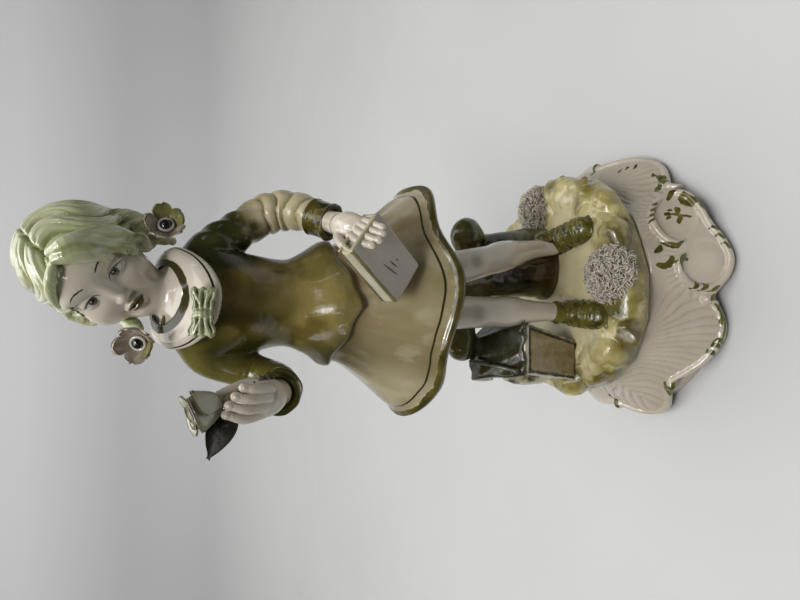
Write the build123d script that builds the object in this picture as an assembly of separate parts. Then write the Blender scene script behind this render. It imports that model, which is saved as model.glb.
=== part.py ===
from build123d import *
import math
import os

# Porcelain figurine of a girl with a rose and a book, standing by a tree stump
# on a scrolled plinth. Millimetres, +Z up. The origin is the middle of the
# plinth's footprint, on the surface it stands on. She faces -Y.
# "right" and "left" are the girl's own.

os.makedirs("parts", exist_ok=True)

# Plinth: a hollow scrolled casting, open below, turned a little about Z
BASE_TURN = 23.0
BASE_HEIGHT = 38.0
BASE_WALL = 5.0
BASE_PROFILE = [(0, 1.0), (4, 1.0), (10, 0.97), (20, 0.87), (30, 0.78), (BASE_HEIGHT, 0.72)]
# radius of the footprint at angles from the cartouche, over one quarter
BASE_QUARTER = [(0, 72.0), (14, 75.0), (31, 71.0), (46, 76.0), (68, 79.5), (90, 82.0)]

# Ground mound on the plinth
MOUND_LONG = 65.0
MOUND_SHORT = 55.0
MOUND_TURN = 21.5
MOUND_PROFILE = [(BASE_HEIGHT, 0.90), (42, 0.98), (48, 1.0), (52, 0.94), (55, 0.80), (56.5, 0.55)]
MOUND_ROOF = 50.0
MOUND_WALL = 7.0
GROUND = 54.5

# Legs: radius at the foot, ankle, shin, calf, knee, thigh and hip
LEG_RADII = [5.4, 5.1, 6.8, 8.7, 8.4, 9.0, 10.0]

# Skirt: a flared bell of slip, open at the hem
SKIRT_CENTRE = (-12.0, -4.0)
SKIRT_PROFILE = [
    (152, 57.0, 46.0), (165, 49.5, 40.5), (180, 39.0, 33.0),
    (194, 30.0, 26.0), (203, 28.5, 24.5),
]
SKIRT_LOBES = 9
SKIRT_WALL = 4.0
SKIRT_ROOF = 194.0

# Jacket: half-widths across and front to back at each height
JACKET_CENTRE = (-12.0, -2.0)
JACKET_PROFILE = [
    (199, 29.5, 25.0), (205, 29.0, 24.5), (212, 23.5, 20.0), (219, 20.5, 17.0), (232, 22.0, 18.0),
    (245, 25.0, 19.5), (256, 28.0, 18.0), (264, 24.0, 15.0), (270, 13.0, 11.0),
]
JACKET_WALL = 4.5

# Head: its own frame, chin down -Z and face towards -Y, then leaned, nodded and turned
HEAD_CENTRE = (5.0, 0.0, 304.5)
HEAD_LEAN = 27.0
HEAD_NOD = 25.0
HEAD_YAW = -15.0
HAIR_HALF = (25.0, 26.5, 27.2)
SKULL_HALF = (22.0, 23.0, 23.8)
SKULL_WALL = 4.0

# Middle of the bow's knot
BOW_AT = (-15.7, -33.0, 260.8)

# Book: one flat frame on the front cover, long side up to the right
BOOK_PLANE = Plane(
    origin=(7.0, -52.0, 189.5), x_dir=(0.627, -0.289, 0.724), z_dir=(-0.04, -0.939, -0.342)
)
BOOK_LONG = 32.0
BOOK_WIDE = 21.0
BOOK_THICK = 9.0
COVER_THICK = 1.6

HEAD = Pos(*HEAD_CENTRE) * Rot(0, HEAD_LEAN, 0) * Rot(HEAD_NOD, 0, 0) * Rot(0, 0, HEAD_YAW)


def pebble(at, half, turn=(0, 0, 0)):
    """An ellipsoid with these half-sizes."""
    return Pos(*at) * Rot(*turn) * scale(Sphere(1.0), by=half)


def limb(points, radii, domes=True):
    """A tapering round limb through the points, domed at both ends."""
    spots = [Vector(*point) for point in points]
    sections = []
    for index, (spot, radius) in enumerate(zip(spots, radii)):
        ahead = spots[min(index + 1, len(spots) - 1)]
        behind = spots[max(index - 1, 0)]
        along = (ahead - behind).normalized()
        across = along.cross(Vector(0.3, 1, 0.1)).normalized()
        sections.append(Plane(origin=spot, x_dir=across, z_dir=along) * Circle(radius))
    body = loft(sections, ruled=True)
    if domes:
        body += Pos(*points[0]) * Sphere(radii[0])
        body += Pos(*points[-1]) * Sphere(radii[-1])
    return body


def outline(radius_at, z, turn=0.0, centre=(0, 0), steps=36):
    """A closed curved face whose radius is a function of the angle in degrees."""
    points = []
    for step in range(steps):
        angle = 360.0 * step / steps
        radius = radius_at(angle)
        around = math.radians(angle + turn)
        points.append((centre[0] + radius * math.cos(around), centre[1] + radius * math.sin(around)))
    return Pos(0, 0, z) * make_face(Spline(*points, periodic=True))


def ellipse_radius(long_half, short_half, angle):
    """Distance from an ellipse's centre to its edge at this angle."""
    cosine = math.cos(math.radians(angle)) / long_half
    sine = math.sin(math.radians(angle)) / short_half
    return 1.0 / math.hypot(cosine, sine)


def seat(piece, *neighbours):
    """Cut the neighbours out of a piece and keep its one main body."""
    for neighbour in neighbours:
        piece = piece - neighbour
    solids = piece.solids()
    return max(solids, key=lambda solid: solid.volume)


def base_footprint(inset, factor, z):
    """The plinth's outline: the quarter's radii mirrored into four."""
    quarter = BASE_QUARTER
    half = quarter + [(180 - angle, radius) for angle, radius in reversed(quarter[1:-1])]
    around = half + [(180 + angle, radius) for angle, radius in half]
    points = []
    for angle, radius in around:
        toward = math.radians(angle - 90 + BASE_TURN)
        reach = radius * factor - inset
        points.append((reach * math.cos(toward), reach * math.sin(toward)))
    return Pos(0, 0, z) * make_face(Spline(*points, periodic=True))


def make_base():
    outer = loft([base_footprint(0, factor, z) for z, factor in BASE_PROFILE])
    inner = loft([base_footprint(BASE_WALL, factor, z) for z, factor in BASE_PROFILE])
    return seat(outer, inner)


def mound_edge(inset, factor, z):
    def radius(angle):
        broad_wave = 0.02 * math.sin(math.radians(7 * angle))
        fine_wave = 0.012 * math.sin(math.radians(11 * angle + 40))
        wave = 1.0 + broad_wave + fine_wave
        return ellipse_radius(MOUND_LONG, MOUND_SHORT, angle) * wave * factor - inset

    return outline(radius, z, MOUND_TURN, (0, 1))


def make_mound():
    outer = loft([mound_edge(0, factor, z) for z, factor in MOUND_PROFILE])
    hollow = loft([mound_edge(MOUND_WALL, 0.90, BASE_HEIGHT), mound_edge(MOUND_WALL, 0.88, MOUND_ROOF)])
    return seat(outer, hollow)


def make_stump():
    trunk_sections = [
        Pos(12, 12, 50) * Ellipse(19, 14), Pos(12, 12, 62) * Ellipse(16.5, 12),
        Pos(12, 13, 85) * Ellipse(14, 10.5), Pos(6, 14, 110) * Ellipse(12, 10.5),
        Pos(3, 14, 135) * Ellipse(11, 10), Pos(2, 13, 168) * Ellipse(10, 9),
    ]
    trunk = loft(trunk_sections)
    side_branch = limb([(6, 14, 112), (-15, 15, 113), (-38, 15, 113)], [8.2, 7.8, 7.8])
    knob_stem = limb([(13, 13, 84), (20, 14, 96), (25, 15, 106)], [8, 5.5, 7])
    knob = pebble((26, 15, 109), (10.5, 8.5, 9.0))
    root = limb([(24, 14, 50), (24, 14, 68), (23.5, 14, 86), (23, 14.5, 100)], [9, 7.5, 6, 4.5])
    return trunk + side_branch + knob_stem + knob + root


def rectangle_at(x_low, x_high, y_low, y_high, z):
    centre = Pos((x_low + x_high) / 2, (y_low + y_high) / 2, z)
    return centre * RectangleRounded(x_high - x_low, y_high - y_low, 1.5)


def make_satchel_body():
    foot = rectangle_at(-58, -34.5, -17.5, 13, 50)
    shoulder = rectangle_at(-52.5, -24.5, -18.5, 13, 95)
    ridge = rectangle_at(-51, -35, 0, 12, 109)
    return loft([foot, shoulder, ridge], ruled=True)


def make_satchel_flap():
    hem = rectangle_at(-56, -22.5, -20.5, 14.5, 90)
    fold = rectangle_at(-56, -22, -20.5, 15, 96)
    ridge = rectangle_at(-54.5, -33, -1, 14.5, 114)
    return loft([hem, fold, ridge], ruled=True)


def make_right_leg():
    points = [
        (-17.5, -17, 66), (-17, -14, 74), (-17, -14.5, 90), (-17, -15, 105),
        (-17, -14, 119), (-17, -12, 136), (-18, -8, 188),
    ]
    return limb(points, LEG_RADII, domes=False)


def make_left_leg():
    points = [
        (20.5, -5, 66), (19, -4.5, 74), (16, -7, 90), (12.5, -10, 105),
        (9.5, -12, 119), (6, -11, 136), (-1, -8, 188),
    ]
    return limb(points, LEG_RADII, domes=False)


def make_shoe():
    """A low strap shoe, heel at the origin and toe towards -Y, its sole at z = 0."""
    heel = pebble((0, -8, 5), (6.2, 8.5, 7.5))
    toe = pebble((0, -21, 3.5), (6.8, 13.5, 7.0))
    collar_ring = Pos(0, -8, 9) * Cylinder(5.9, 9)
    bands = [
        pebble((0, -16 - 4.2 * step, 7.0 - 1.0 * step), (6.6, 1.6, 4.2), (18, 0, 0))
        for step in range(3)
    ]
    shoe = heel + toe + collar_ring
    for band in bands:
        shoe += band
    below = Pos(0, -15, -10) * Box(40, 60, 20)
    return shoe - below


def skirt_edge(inset, z, half_x, half_y, depth):
    def radius(angle):
        wave = 1.0 + depth * math.cos(math.radians(SKIRT_LOBES * angle + 30))
        return ellipse_radius(half_x, half_y, angle) * wave - inset

    return outline(radius, z, 0, SKIRT_CENTRE, steps=72)


def make_skirt():
    depths = [0.045, 0.035, 0.02, 0.006, 0.0]
    outer = loft([skirt_edge(0, *level, depth) for level, depth in zip(SKIRT_PROFILE, depths)])
    inner_levels = [(z, rx, ry) for z, rx, ry in SKIRT_PROFILE if z <= SKIRT_ROOF]
    inner = loft([skirt_edge(SKIRT_WALL, *level, depth) for level, depth in zip(inner_levels, depths)])
    return seat(outer, inner)


def jacket_section(inset, z, half_x, half_y):
    return Pos(JACKET_CENTRE[0], JACKET_CENTRE[1], z) * Ellipse(half_x - inset, half_y - inset)


def make_jacket():
    outer = loft([jacket_section(0, *level) for level in JACKET_PROFILE])
    inner = loft([jacket_section(JACKET_WALL, *level) for level in JACKET_PROFILE[:-2]])
    return seat(outer, inner)


def make_neck():
    return limb([(-12, -2, 262), (-9, -4, 274), (-3, -6, 287)], [9.5, 8.7, 9.0], domes=False)


def make_head(neck):
    skull = pebble((0, 1, 2), SKULL_HALF)
    face = pebble((0, -6.5, -9), (17.0, 15.5, 19.5))
    cheeks = pebble((0, -10, -12), (14.5, 11.5, 11.5))
    chin = pebble((0, -17.5, -24.5), (5.5, 5.0, 4.5))
    nose = pebble((0, -22.5, -9.5), (2.6, 3.2, 3.4))
    ears = pebble((20.5, -1, -8), (2.6, 3.6, 5.2)) + pebble((-20.5, -1, -8), (2.6, 3.6, 5.2))
    return HEAD * (skull + face + cheeks + chin + nose + ears) + neck


def make_head_hollow():
    return HEAD * pebble((0, 1, 2), tuple(half - SKULL_WALL for half in SKULL_HALF))


def make_hair():
    mass = pebble((0, 1, 1), HAIR_HALF)
    face_opening = pebble((0, -24, -14), (18.5, 15.5, 24.0))
    below_nape = Pos(0, 0, -38) * Box(80, 80, 40)
    return HEAD * (mass - face_opening - below_nape)


def make_bunch(points, radii):
    return limb(points, radii)


def flower_frame(at, facing):
    """A flower's frame: its face looks along +Z of this frame."""
    return Plane(origin=at, z_dir=facing)


def make_petals(frame, count, reach, petal_half):
    petals = Pos(0, 0, 0) * Cylinder(2.6, 1.6)
    for index in range(count):
        petals += Rot(0, 0, 360.0 * index / count) * pebble((reach, 0, 0.6), petal_half, (0, -18, 0))
    return frame * petals


def make_flower_cup(frame):
    return frame * (Pos(0, 0, 1.8) * Torus(2.5, 0.8))


def make_flower_eye(frame):
    return frame * pebble((0, 0, 2.0), (1.9, 1.9, 1.6))


def make_collar(neck_clearance):
    lower = Pos(-10.5, -9.5, 262.5) * Rot(28, 0, 0) * Ellipse(21.3, 20.5)
    upper = Pos(-9.5, -6.5, 272.5) * Rot(20, 0, 0) * Ellipse(14.0, 12.5)
    return loft([lower, upper]) - neck_clearance


def make_bow_loop(side):
    """One loop of the bow, widening away from the knot."""
    sections = []
    for reach, depth, height in [(1.2, 2.6, 4.0), (8.6, 4.0, 10.0)]:
        spot = (BOW_AT[0] + side * reach, BOW_AT[1], BOW_AT[2])
        across = Plane(origin=spot, x_dir=(0, 1, 0), z_dir=(side, 0, 0))
        sections.append(across * Rectangle(depth, height))
    return loft(sections, ruled=True)


def make_right_sleeve():
    points = [(-35, 0, 256), (-41, -4, 242), (-45.5, -12, 229), (-47, -24, 227.5), (-48, -36, 231)]
    return limb(points, [9.5, 8.6, 8.4, 7.9, 7.4])


def make_right_cuff():
    return limb([(-48, -34.5, 230.2), (-48, -38, 231.7), (-48, -42, 233.6)], [8.4, 8.8, 8.8], domes=False)


def straight(start, end, start_radius, end_radius):
    """A straight tapering rod between two points."""
    middle = (Vector(*start) + Vector(*end)) / 2
    along = Vector(*end) - Vector(*start)
    return Plane(origin=middle, z_dir=along) * Cone(start_radius, end_radius, along.length)


def make_hand(wrist, palm_plane, palm_size, knuckles, tips, thumb):
    """Wrist, a flat palm, four fingers and a thumb."""
    width, length, depth = palm_size
    palm = palm_plane * extrude(RectangleRounded(width, length, 2.0), depth / 2, both=True)
    hand = palm + straight(wrist[0], wrist[1], 4.6, 4.2)
    for knuckle, tip in zip(knuckles, tips):
        hand += straight(knuckle, tip, 1.9, 1.3)
    return hand + straight(thumb[0], thumb[1], 2.2, 1.5)


def make_right_hand():
    wrist = [(-48, -40, 233), (-49.7, -49.5, 243)]
    palm_plane = Plane(origin=(-49.5, -50.5, 244), x_dir=(1, 0, -0.15), z_dir=(0.05, -0.95, 0.3))
    knuckles = [(-53.4, -51.0, 245.5), (-50.4, -51.5, 247), (-47.4, -52.0, 246.5), (-44.9, -52.0, 244.5)]
    tips = [(-53.6, -55, 256.1), (-49.4, -56, 256.3), (-45.2, -57, 253.8), (-41.6, -57, 249.7)]
    thumb = [(-46.5, -48, 244), (-46.1, -46.5, 256)]
    return make_hand(wrist, palm_plane, (12.0, 11.5, 6.0), knuckles, tips, thumb)


def make_left_sleeve():
    return limb([(11, 0, 256), (20, 1, 244), (28.5, 2, 232)], [9.5, 9.0, 9.2])


def make_left_forearm():
    points = [(30, 2, 229), (32.3, 0, 221), (30.8, -7, 213.5), (27.2, -14, 207)]
    return limb(points, [9.4, 9.3, 8.4, 7.4])


def make_left_cuff():
    return limb([(28.6, -11.5, 209), (27, -15, 206), (25.2, -19, 202.8)], [7.9, 8.3, 8.3], domes=False)


def make_left_hand():
    wrist = [(26, -17, 204.5), (22.5, -34, 203)]
    palm_plane = Plane(origin=(20.5, -41, 202.5), x_dir=(0.85, 0.2, -0.45), z_dir=(0.5, 0, 0.87))
    knuckles = [(15.6, -47, 205.2), (18.8, -48, 203.4), (21.8, -47.6, 201.4), (24.4, -46, 199.4)]
    tips = [(9.2, -59.2, 201.5), (13.6, -60.5, 197), (18.4, -60.2, 194), (23.2, -58.2, 191.8)]
    thumb = [(16.5, -40, 204), (11.5, -46, 207.5)]
    return make_hand(wrist, palm_plane, (12.0, 19.0, 6.5), knuckles, tips, thumb)


def make_book_pages():
    block = Box(BOOK_LONG - 2.4, BOOK_WIDE - 2.0, BOOK_THICK - 2 * COVER_THICK)
    return BOOK_PLANE * (Pos(0, 0, -BOOK_THICK / 2) * block)


def make_book_cover():
    """Two boards and the spine, which runs down the lower right side."""
    front = Pos(0, 0, -COVER_THICK / 2) * Box(BOOK_LONG, BOOK_WIDE, COVER_THICK)
    back = Pos(0, 0, COVER_THICK / 2 - BOOK_THICK) * Box(BOOK_LONG, BOOK_WIDE, COVER_THICK)
    spine_place = Pos(0, -BOOK_WIDE / 2 + COVER_THICK / 2, -BOOK_THICK / 2)
    spine = spine_place * Box(BOOK_LONG, COVER_THICK, BOOK_THICK)
    return BOOK_PLANE * (front + back + spine)


def make_rose_heart(frame):
    """The tight bud: a cup that widens to its rim."""
    cup = loft([Circle(2.6), Pos(0, 0, 5) * Circle(4.6), Pos(0, 0, 10) * Circle(5.2)])
    return frame * (cup - Pos(0, 0, 6.5) * Cone(2.2, 4.0, 8.0))


def make_rose_petals(frame):
    """The outer petals as one flaring cup round the heart."""
    return frame * (Pos(0, 0, 4.0) * Cone(3.6, 6.6, 8.0))


def make_rose_stem():
    return limb([(-46.8, -50, 246), (-47.6, -50, 251), (-48.7, -50, 256)], [1.4, 1.4, 2.2])


def make_rose_leaf():
    rib = Plane(origin=(-61.5, -50.5, 256.5), x_dir=(-0.92, 0, 0.38), z_dir=(0.25, -0.85, 0.46))
    edge = Polyline((-9.5, -1), (-5, 4.2), (1, 4.8), (8.5, 0.2), (2, -4.6), (-5, -3.8), close=True)
    blade = make_face(edge)
    return extrude(rib * blade, 1.6)


def make_tuft(at, half):
    dome = pebble(at, half)
    return dome - Pos(at[0], at[1], GROUND - 14) * Box(80, 80, 20)


def main():
    pieces = {}
    pieces["base"] = make_base()
    pieces["ground_mound"] = seat(make_mound(), pieces["base"])
    mound = pieces["ground_mound"]
    pieces["skirt"] = make_skirt()
    skirt = pieces["skirt"]
    pieces["tree_stump"] = seat(make_stump(), mound)
    stump = pieces["tree_stump"]

    shoe = make_shoe()
    right_shoe = Pos(-17.2, -7.0, GROUND) * Rot(0, 0, -4) * shoe
    left_shoe = Pos(21.6, 5.0, GROUND) * Rot(0, 0, 16) * shoe
    right_leg = make_right_leg()
    left_leg = make_left_leg()
    pieces["right_shoe"] = seat(right_shoe, mound, stump)
    pieces["left_shoe"] = seat(left_shoe, mound, stump)
    pieces["right_leg"] = seat(right_leg, right_shoe, skirt, stump)
    pieces["left_leg"] = seat(left_leg, left_shoe, skirt, stump, pieces["right_leg"])

    satchel = make_satchel_body()
    pieces["satchel_body"] = seat(satchel, mound, stump)
    pieces["satchel_flap"] = seat(make_satchel_flap(), satchel, stump)

    jacket = make_jacket()
    pieces["jacket"] = seat(jacket, skirt)
    neck = make_neck()
    head = make_head(neck)
    pieces["head"] = seat(head, jacket, make_head_hollow())
    pieces["hair"] = seat(make_hair(), head)
    hair = pieces["hair"]
    neck_line = [(-14, -2, 252), (-9, -4.5, 274), (-3, -6, 290)]
    neck_clearance = limb(neck_line, [12.5, 11.5, 11.5], domes=False)
    pieces["collar"] = seat(make_collar(neck_clearance), jacket, head)
    collar = pieces["collar"]

    bow_knot = Pos(*BOW_AT) * Box(4.0, 4.6, 5.4)
    pieces["bow_knot"] = seat(bow_knot, collar, jacket)
    pieces["bow_right_loop"] = seat(make_bow_loop(-1), bow_knot, collar, jacket)
    pieces["bow_left_loop"] = seat(make_bow_loop(1), bow_knot, collar, jacket)

    right_line = [(-17, -1, 296), (-23, -5, 291), (-24, -6, 282), (-21, -5, 274)]
    left_line = [(25, -2, 294), (24, -5, 287), (20, -6, 279), (16, -6, 272)]
    right_bunch = make_bunch(right_line, [5, 6, 6, 4.5])
    left_bunch = make_bunch(left_line, [6, 6.5, 6, 4.5])
    pieces["right_bunch"] = seat(right_bunch, hair, head, collar, jacket)
    pieces["left_bunch"] = seat(left_bunch, hair, head, collar, jacket)

    flowers = {
        "right": (flower_frame((-27.6, -14, 287.1), (-0.35, -0.85, 0.35)), right_bunch),
        "left": (flower_frame((20.1, -14, 274.0), (0.40, -0.88, 0.15)), left_bunch),
    }
    for side, (frame, bunch) in flowers.items():
        petals = make_petals(frame, 5, 4.9, (3.6, 2.9, 1.2))
        cup = make_flower_cup(frame)
        eye = make_flower_eye(frame)
        pieces[side + "_flower_eye"] = seat(eye, petals)
        pieces[side + "_flower_cup"] = seat(cup, petals, eye)
        pieces[side + "_flower_petals"] = seat(petals, bunch, hair, head, collar)

    right_sleeve = make_right_sleeve()
    right_cuff = make_right_cuff()
    right_hand = make_right_hand()
    pieces["right_sleeve"] = seat(right_sleeve, jacket, collar)
    pieces["right_hand"] = seat(right_hand, right_sleeve)
    pieces["right_cuff"] = seat(right_cuff, right_sleeve, right_hand)

    left_sleeve = make_left_sleeve()
    left_forearm = make_left_forearm()
    left_cuff = make_left_cuff()
    left_hand = make_left_hand()
    pieces["left_sleeve"] = seat(left_sleeve, jacket, collar)
    pieces["left_forearm_sleeve"] = seat(left_forearm, left_sleeve, jacket)
    pieces["left_cuff"] = seat(left_cuff, left_forearm, skirt)
    book_cover = make_book_cover()
    book_pages = make_book_pages()
    pieces["left_hand"] = seat(left_hand, left_forearm, left_cuff, book_cover, book_pages)
    pieces["book_cover"] = seat(book_cover, skirt)
    pieces["book_pages"] = seat(book_pages, book_cover, skirt)

    rose_frame = Plane(origin=(-48.7, -50, 256.3), z_dir=(-0.36, -0.1, 0.92))
    rose_heart = make_rose_heart(rose_frame)
    rose_stem = make_rose_stem()
    pieces["rose_stem"] = seat(rose_stem, right_hand)
    pieces["rose_heart"] = seat(rose_heart, rose_stem, right_hand)
    pieces["rose_petals"] = seat(make_rose_petals(rose_frame), rose_heart, rose_stem, right_hand)
    pieces["rose_leaf"] = seat(make_rose_leaf(), pieces["rose_petals"], right_hand)

    pieces["front_tuft"] = seat(make_tuft((3, -37, 57), (16, 12.5, 11)), mound, right_shoe, left_shoe)
    pieces["back_tuft"] = seat(make_tuft((44, 19, 58), (14.5, 9, 9)), mound, stump)

    for name, shape in pieces.items():
        export_step(shape, "parts/" + name + ".step")
    print(len(pieces), "pieces written")


main()
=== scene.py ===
import math
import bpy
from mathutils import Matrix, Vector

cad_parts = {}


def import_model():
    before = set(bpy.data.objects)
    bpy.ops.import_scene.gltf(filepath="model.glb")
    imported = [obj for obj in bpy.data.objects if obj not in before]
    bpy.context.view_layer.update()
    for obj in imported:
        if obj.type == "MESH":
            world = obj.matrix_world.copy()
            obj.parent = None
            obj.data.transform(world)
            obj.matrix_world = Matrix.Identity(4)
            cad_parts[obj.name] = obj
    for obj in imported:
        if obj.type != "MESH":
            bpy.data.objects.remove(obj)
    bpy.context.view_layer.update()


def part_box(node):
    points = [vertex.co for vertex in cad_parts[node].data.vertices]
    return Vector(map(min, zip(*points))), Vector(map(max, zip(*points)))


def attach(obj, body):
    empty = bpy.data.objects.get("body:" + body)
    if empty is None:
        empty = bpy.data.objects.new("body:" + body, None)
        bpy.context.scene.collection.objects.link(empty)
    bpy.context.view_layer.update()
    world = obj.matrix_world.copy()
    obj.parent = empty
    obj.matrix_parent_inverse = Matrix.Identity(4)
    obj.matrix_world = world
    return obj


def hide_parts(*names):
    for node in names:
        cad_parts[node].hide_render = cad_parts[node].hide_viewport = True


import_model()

from concurrent.futures import ThreadPoolExecutor

import bpy
import numpy as np
from mathutils import Matrix, Vector

# Lengths in this script are millimetres in the row frame, +Z up, the girl facing -Y;
# MM turns them into Blender's metres when a mesh is made; lights and the camera are placed in metres.
MM = 0.001
COARSE = 1.0


# ---------------------------------------------------------------- numbers from the frame
def node_box(name):
    low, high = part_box(name)
    return np.array(low) / MM, np.array(high) / MM


def node_middle(name):
    low, high = node_box(name)
    return (low + high) / 2


# ---------------------------------------------------------------- vectors and turns
def column(values):
    return np.asarray(values, np.float32).reshape(3, 1)


def length(v):
    return np.sqrt(v[0] * v[0] + v[1] * v[1] + v[2] * v[2])


def unit(v):
    v = np.asarray(v, float)
    return v / np.linalg.norm(v)


def turn(x=0.0, y=0.0, z=0.0):
    """Rotation about Y, then X, then Z in the turned frame, in degrees, as a matrix."""
    about_x = Matrix.Rotation(math.radians(x), 3, "X")
    about_y = Matrix.Rotation(math.radians(y), 3, "Y")
    about_z = Matrix.Rotation(math.radians(z), 3, "Z")
    return np.array(about_y @ about_x @ about_z, np.float32)


def facing(direction, up=(0, 0, 1)):
    """A frame whose third axis looks along direction."""
    w = unit(direction)
    u = unit(np.cross(up, w))
    return np.array([u, np.cross(w, u), w], np.float32).T


def local(p, at, axes=None):
    q = p - column(at)
    return q if axes is None else np.asarray(axes, np.float32).T @ q


def world(q, at, axes):
    return np.asarray(axes, np.float32) @ q + column(at)


def ramp(value, low, high):
    t = np.clip((value - low) / (high - low), 0, 1)
    return t * t * (3 - 2 * t)


def waves(p, size, seed=0, count=6):
    """Smooth wandering noise between about -1 and 1, with features of this size in mm."""
    rng = np.random.default_rng(seed)
    total = np.zeros(p.shape[1], np.float32)
    for _ in range(count):
        way = unit(rng.normal(size=3)) * (6.28 / size) * rng.uniform(0.6, 1.4)
        total += np.sin(way[0] * p[0] + way[1] * p[1] + way[2] * p[2] + rng.uniform(0, 6.28))
    return total * (1.6 / count)


def curve(points, per=6):
    """Points along a smooth curve through the given rows, each with any number of values."""
    rows = np.asarray(points, float)
    if len(rows) < 3:
        return np.array([rows[0] + (rows[-1] - rows[0]) * t for t in np.linspace(0, 1, per + 1)])
    ends = np.vstack([2 * rows[0] - rows[1], rows, 2 * rows[-1] - rows[-2]])
    out = []
    for i in range(1, len(ends) - 2):
        a, b, c, d = ends[i - 1], ends[i], ends[i + 1], ends[i + 2]
        for t in np.linspace(0, 1, per, endpoint=False):
            square, cube = 2 * a - 5 * b + 4 * c - d, 3 * b - a - 3 * c + d
            out.append(0.5 * (2 * b + (c - a) * t + square * t**2 + cube * t**3))
    out.append(rows[-1])
    return np.array(out)


# ---------------------------------------------------------------- signed distances
def join(a, b, soft):
    """Union with a soft fillet."""
    h = np.clip(0.5 + 0.5 * (b - a) / soft, 0, 1)
    return b + (a - b) * h - soft * h * (1 - h)


def cut(a, b, soft=0.2):
    """a without b, with a softened edge."""
    return -join(-a, b, soft)


def both(a, b, soft=0.2):
    return -join(-a, -b, soft)


def ellipsoid(p, at, half, axes=None):
    q = local(p, at, axes)
    half = column(half)
    k0 = length(q / half)
    k1 = length(q / (half * half))
    return k0 * (k0 - 1) / np.maximum(k1, 1e-5)


def ball(p, at, radius):
    return length(p - column(at)) - radius


def bump(p, at, half, amount, axes=None):
    """A soft push of this many mm around a point."""
    q = local(p, at, axes) / column(half)
    return amount * np.exp(-(q[0] * q[0] + q[1] * q[1] + q[2] * q[2]))


def slab(p, at, half, axes=None, rounding=0.5):
    q = np.abs(local(p, at, axes)) - (column(half) - rounding)
    outside = length(np.maximum(q, 0))
    return outside + np.minimum(np.maximum(q[0], np.maximum(q[1], q[2])), 0) - rounding


def torus(p, at, radius, thick, axes=None, squeeze=(1, 1)):
    q = local(p, at, axes)
    ring = np.sqrt((q[0] / squeeze[0]) ** 2 + (q[1] / squeeze[1]) ** 2) - radius
    return np.sqrt(ring * ring + q[2] * q[2]) - thick


def tube(p, rows, per=6):
    """A limb along a curve: rows of x, y, z, radius. Far points get only a rough distance."""
    line = curve(rows, per)
    low, high = line[:, :3].min(0), line[:, :3].max(0)
    reach = line[:, 3].max()
    outside = length(np.maximum(np.maximum(column(low) - p, p - column(high)), 0))
    near = outside < reach + 6.0
    best = outside + 0.5
    q = p[:, near]
    found = np.full(q.shape[1], 1e9, np.float32)
    for a, b in zip(line[:-1], line[1:]):
        step = (b - a).astype(np.float32)
        span = float(step[:3] @ step[:3]) + 1e-9
        r = q - column(a[:3])
        t = np.clip((r[0] * step[0] + r[1] * step[1] + r[2] * step[2]) / span, 0, 1)
        gap = np.sqrt((r[0] - t * step[0]) ** 2 + (r[1] - t * step[1]) ** 2 + (r[2] - t * step[2]) ** 2)
        found = np.minimum(found, gap - (a[3] + t * step[3]))
    best[near] = found
    return best


def along_tube(p, rows, per=6):
    """Share of the way along the curve, and distance from its line, for each point."""
    line = curve(rows, per)[:, :3]
    steps = np.linalg.norm(np.diff(line, axis=0), axis=1)
    start = np.concatenate([[0], np.cumsum(steps)])
    best = np.full(p.shape[1], 1e9, np.float32)
    share = np.zeros(p.shape[1], np.float32)
    for i, (a, b) in enumerate(zip(line[:-1], line[1:])):
        step = (b - a).astype(np.float32)
        r = p - column(a)
        t = np.clip((r[0] * step[0] + r[1] * step[1] + r[2] * step[2]) / float(step @ step + 1e-9), 0, 1)
        gap = length(r - t * column(step))
        closer = gap < best
        best[closer] = gap[closer]
        share[closer] = (start[i] + t[closer] * steps[i]) / start[-1]
    return share, best


def stroke(u, v, points, per=8):
    """Distance in a plane from a painted stroke: rows of u, v, half-width. Negative inside."""
    line = curve(points, per)
    best = np.full(u.shape, 1e3, np.float32)
    for a, b in zip(line[:-1], line[1:]):
        du, dv = b[0] - a[0], b[1] - a[1]
        t = np.clip(((u - a[0]) * du + (v - a[1]) * dv) / (du * du + dv * dv + 1e-9), 0, 1)
        gap = np.hypot(u - a[0] - t * du, v - a[1] - t * dv) - (a[2] + t * (b[2] - a[2]))
        best = np.minimum(best, gap)
    return best


# ---------------------------------------------------------------- meshes from distances
CHUNK = 60000


def in_chunks(shape, points):
    out = np.empty(points.shape[1], np.float32)
    for start in range(0, points.shape[1], CHUNK):
        out[start:start + CHUNK] = shape(points[:, start:start + CHUNK])
    return out


def gradient(shape, points, step):
    """Slope of the distance from four samples on a tetrahedron."""
    corners = np.array([[1, 1, 1], [1, -1, -1], [-1, 1, -1], [-1, -1, 1]], np.float32)
    total = np.zeros_like(points)
    for corner in corners:
        total += column(corner) * in_chunks(shape, points + column(corner) * step)
    return total / (4 * step)


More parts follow.
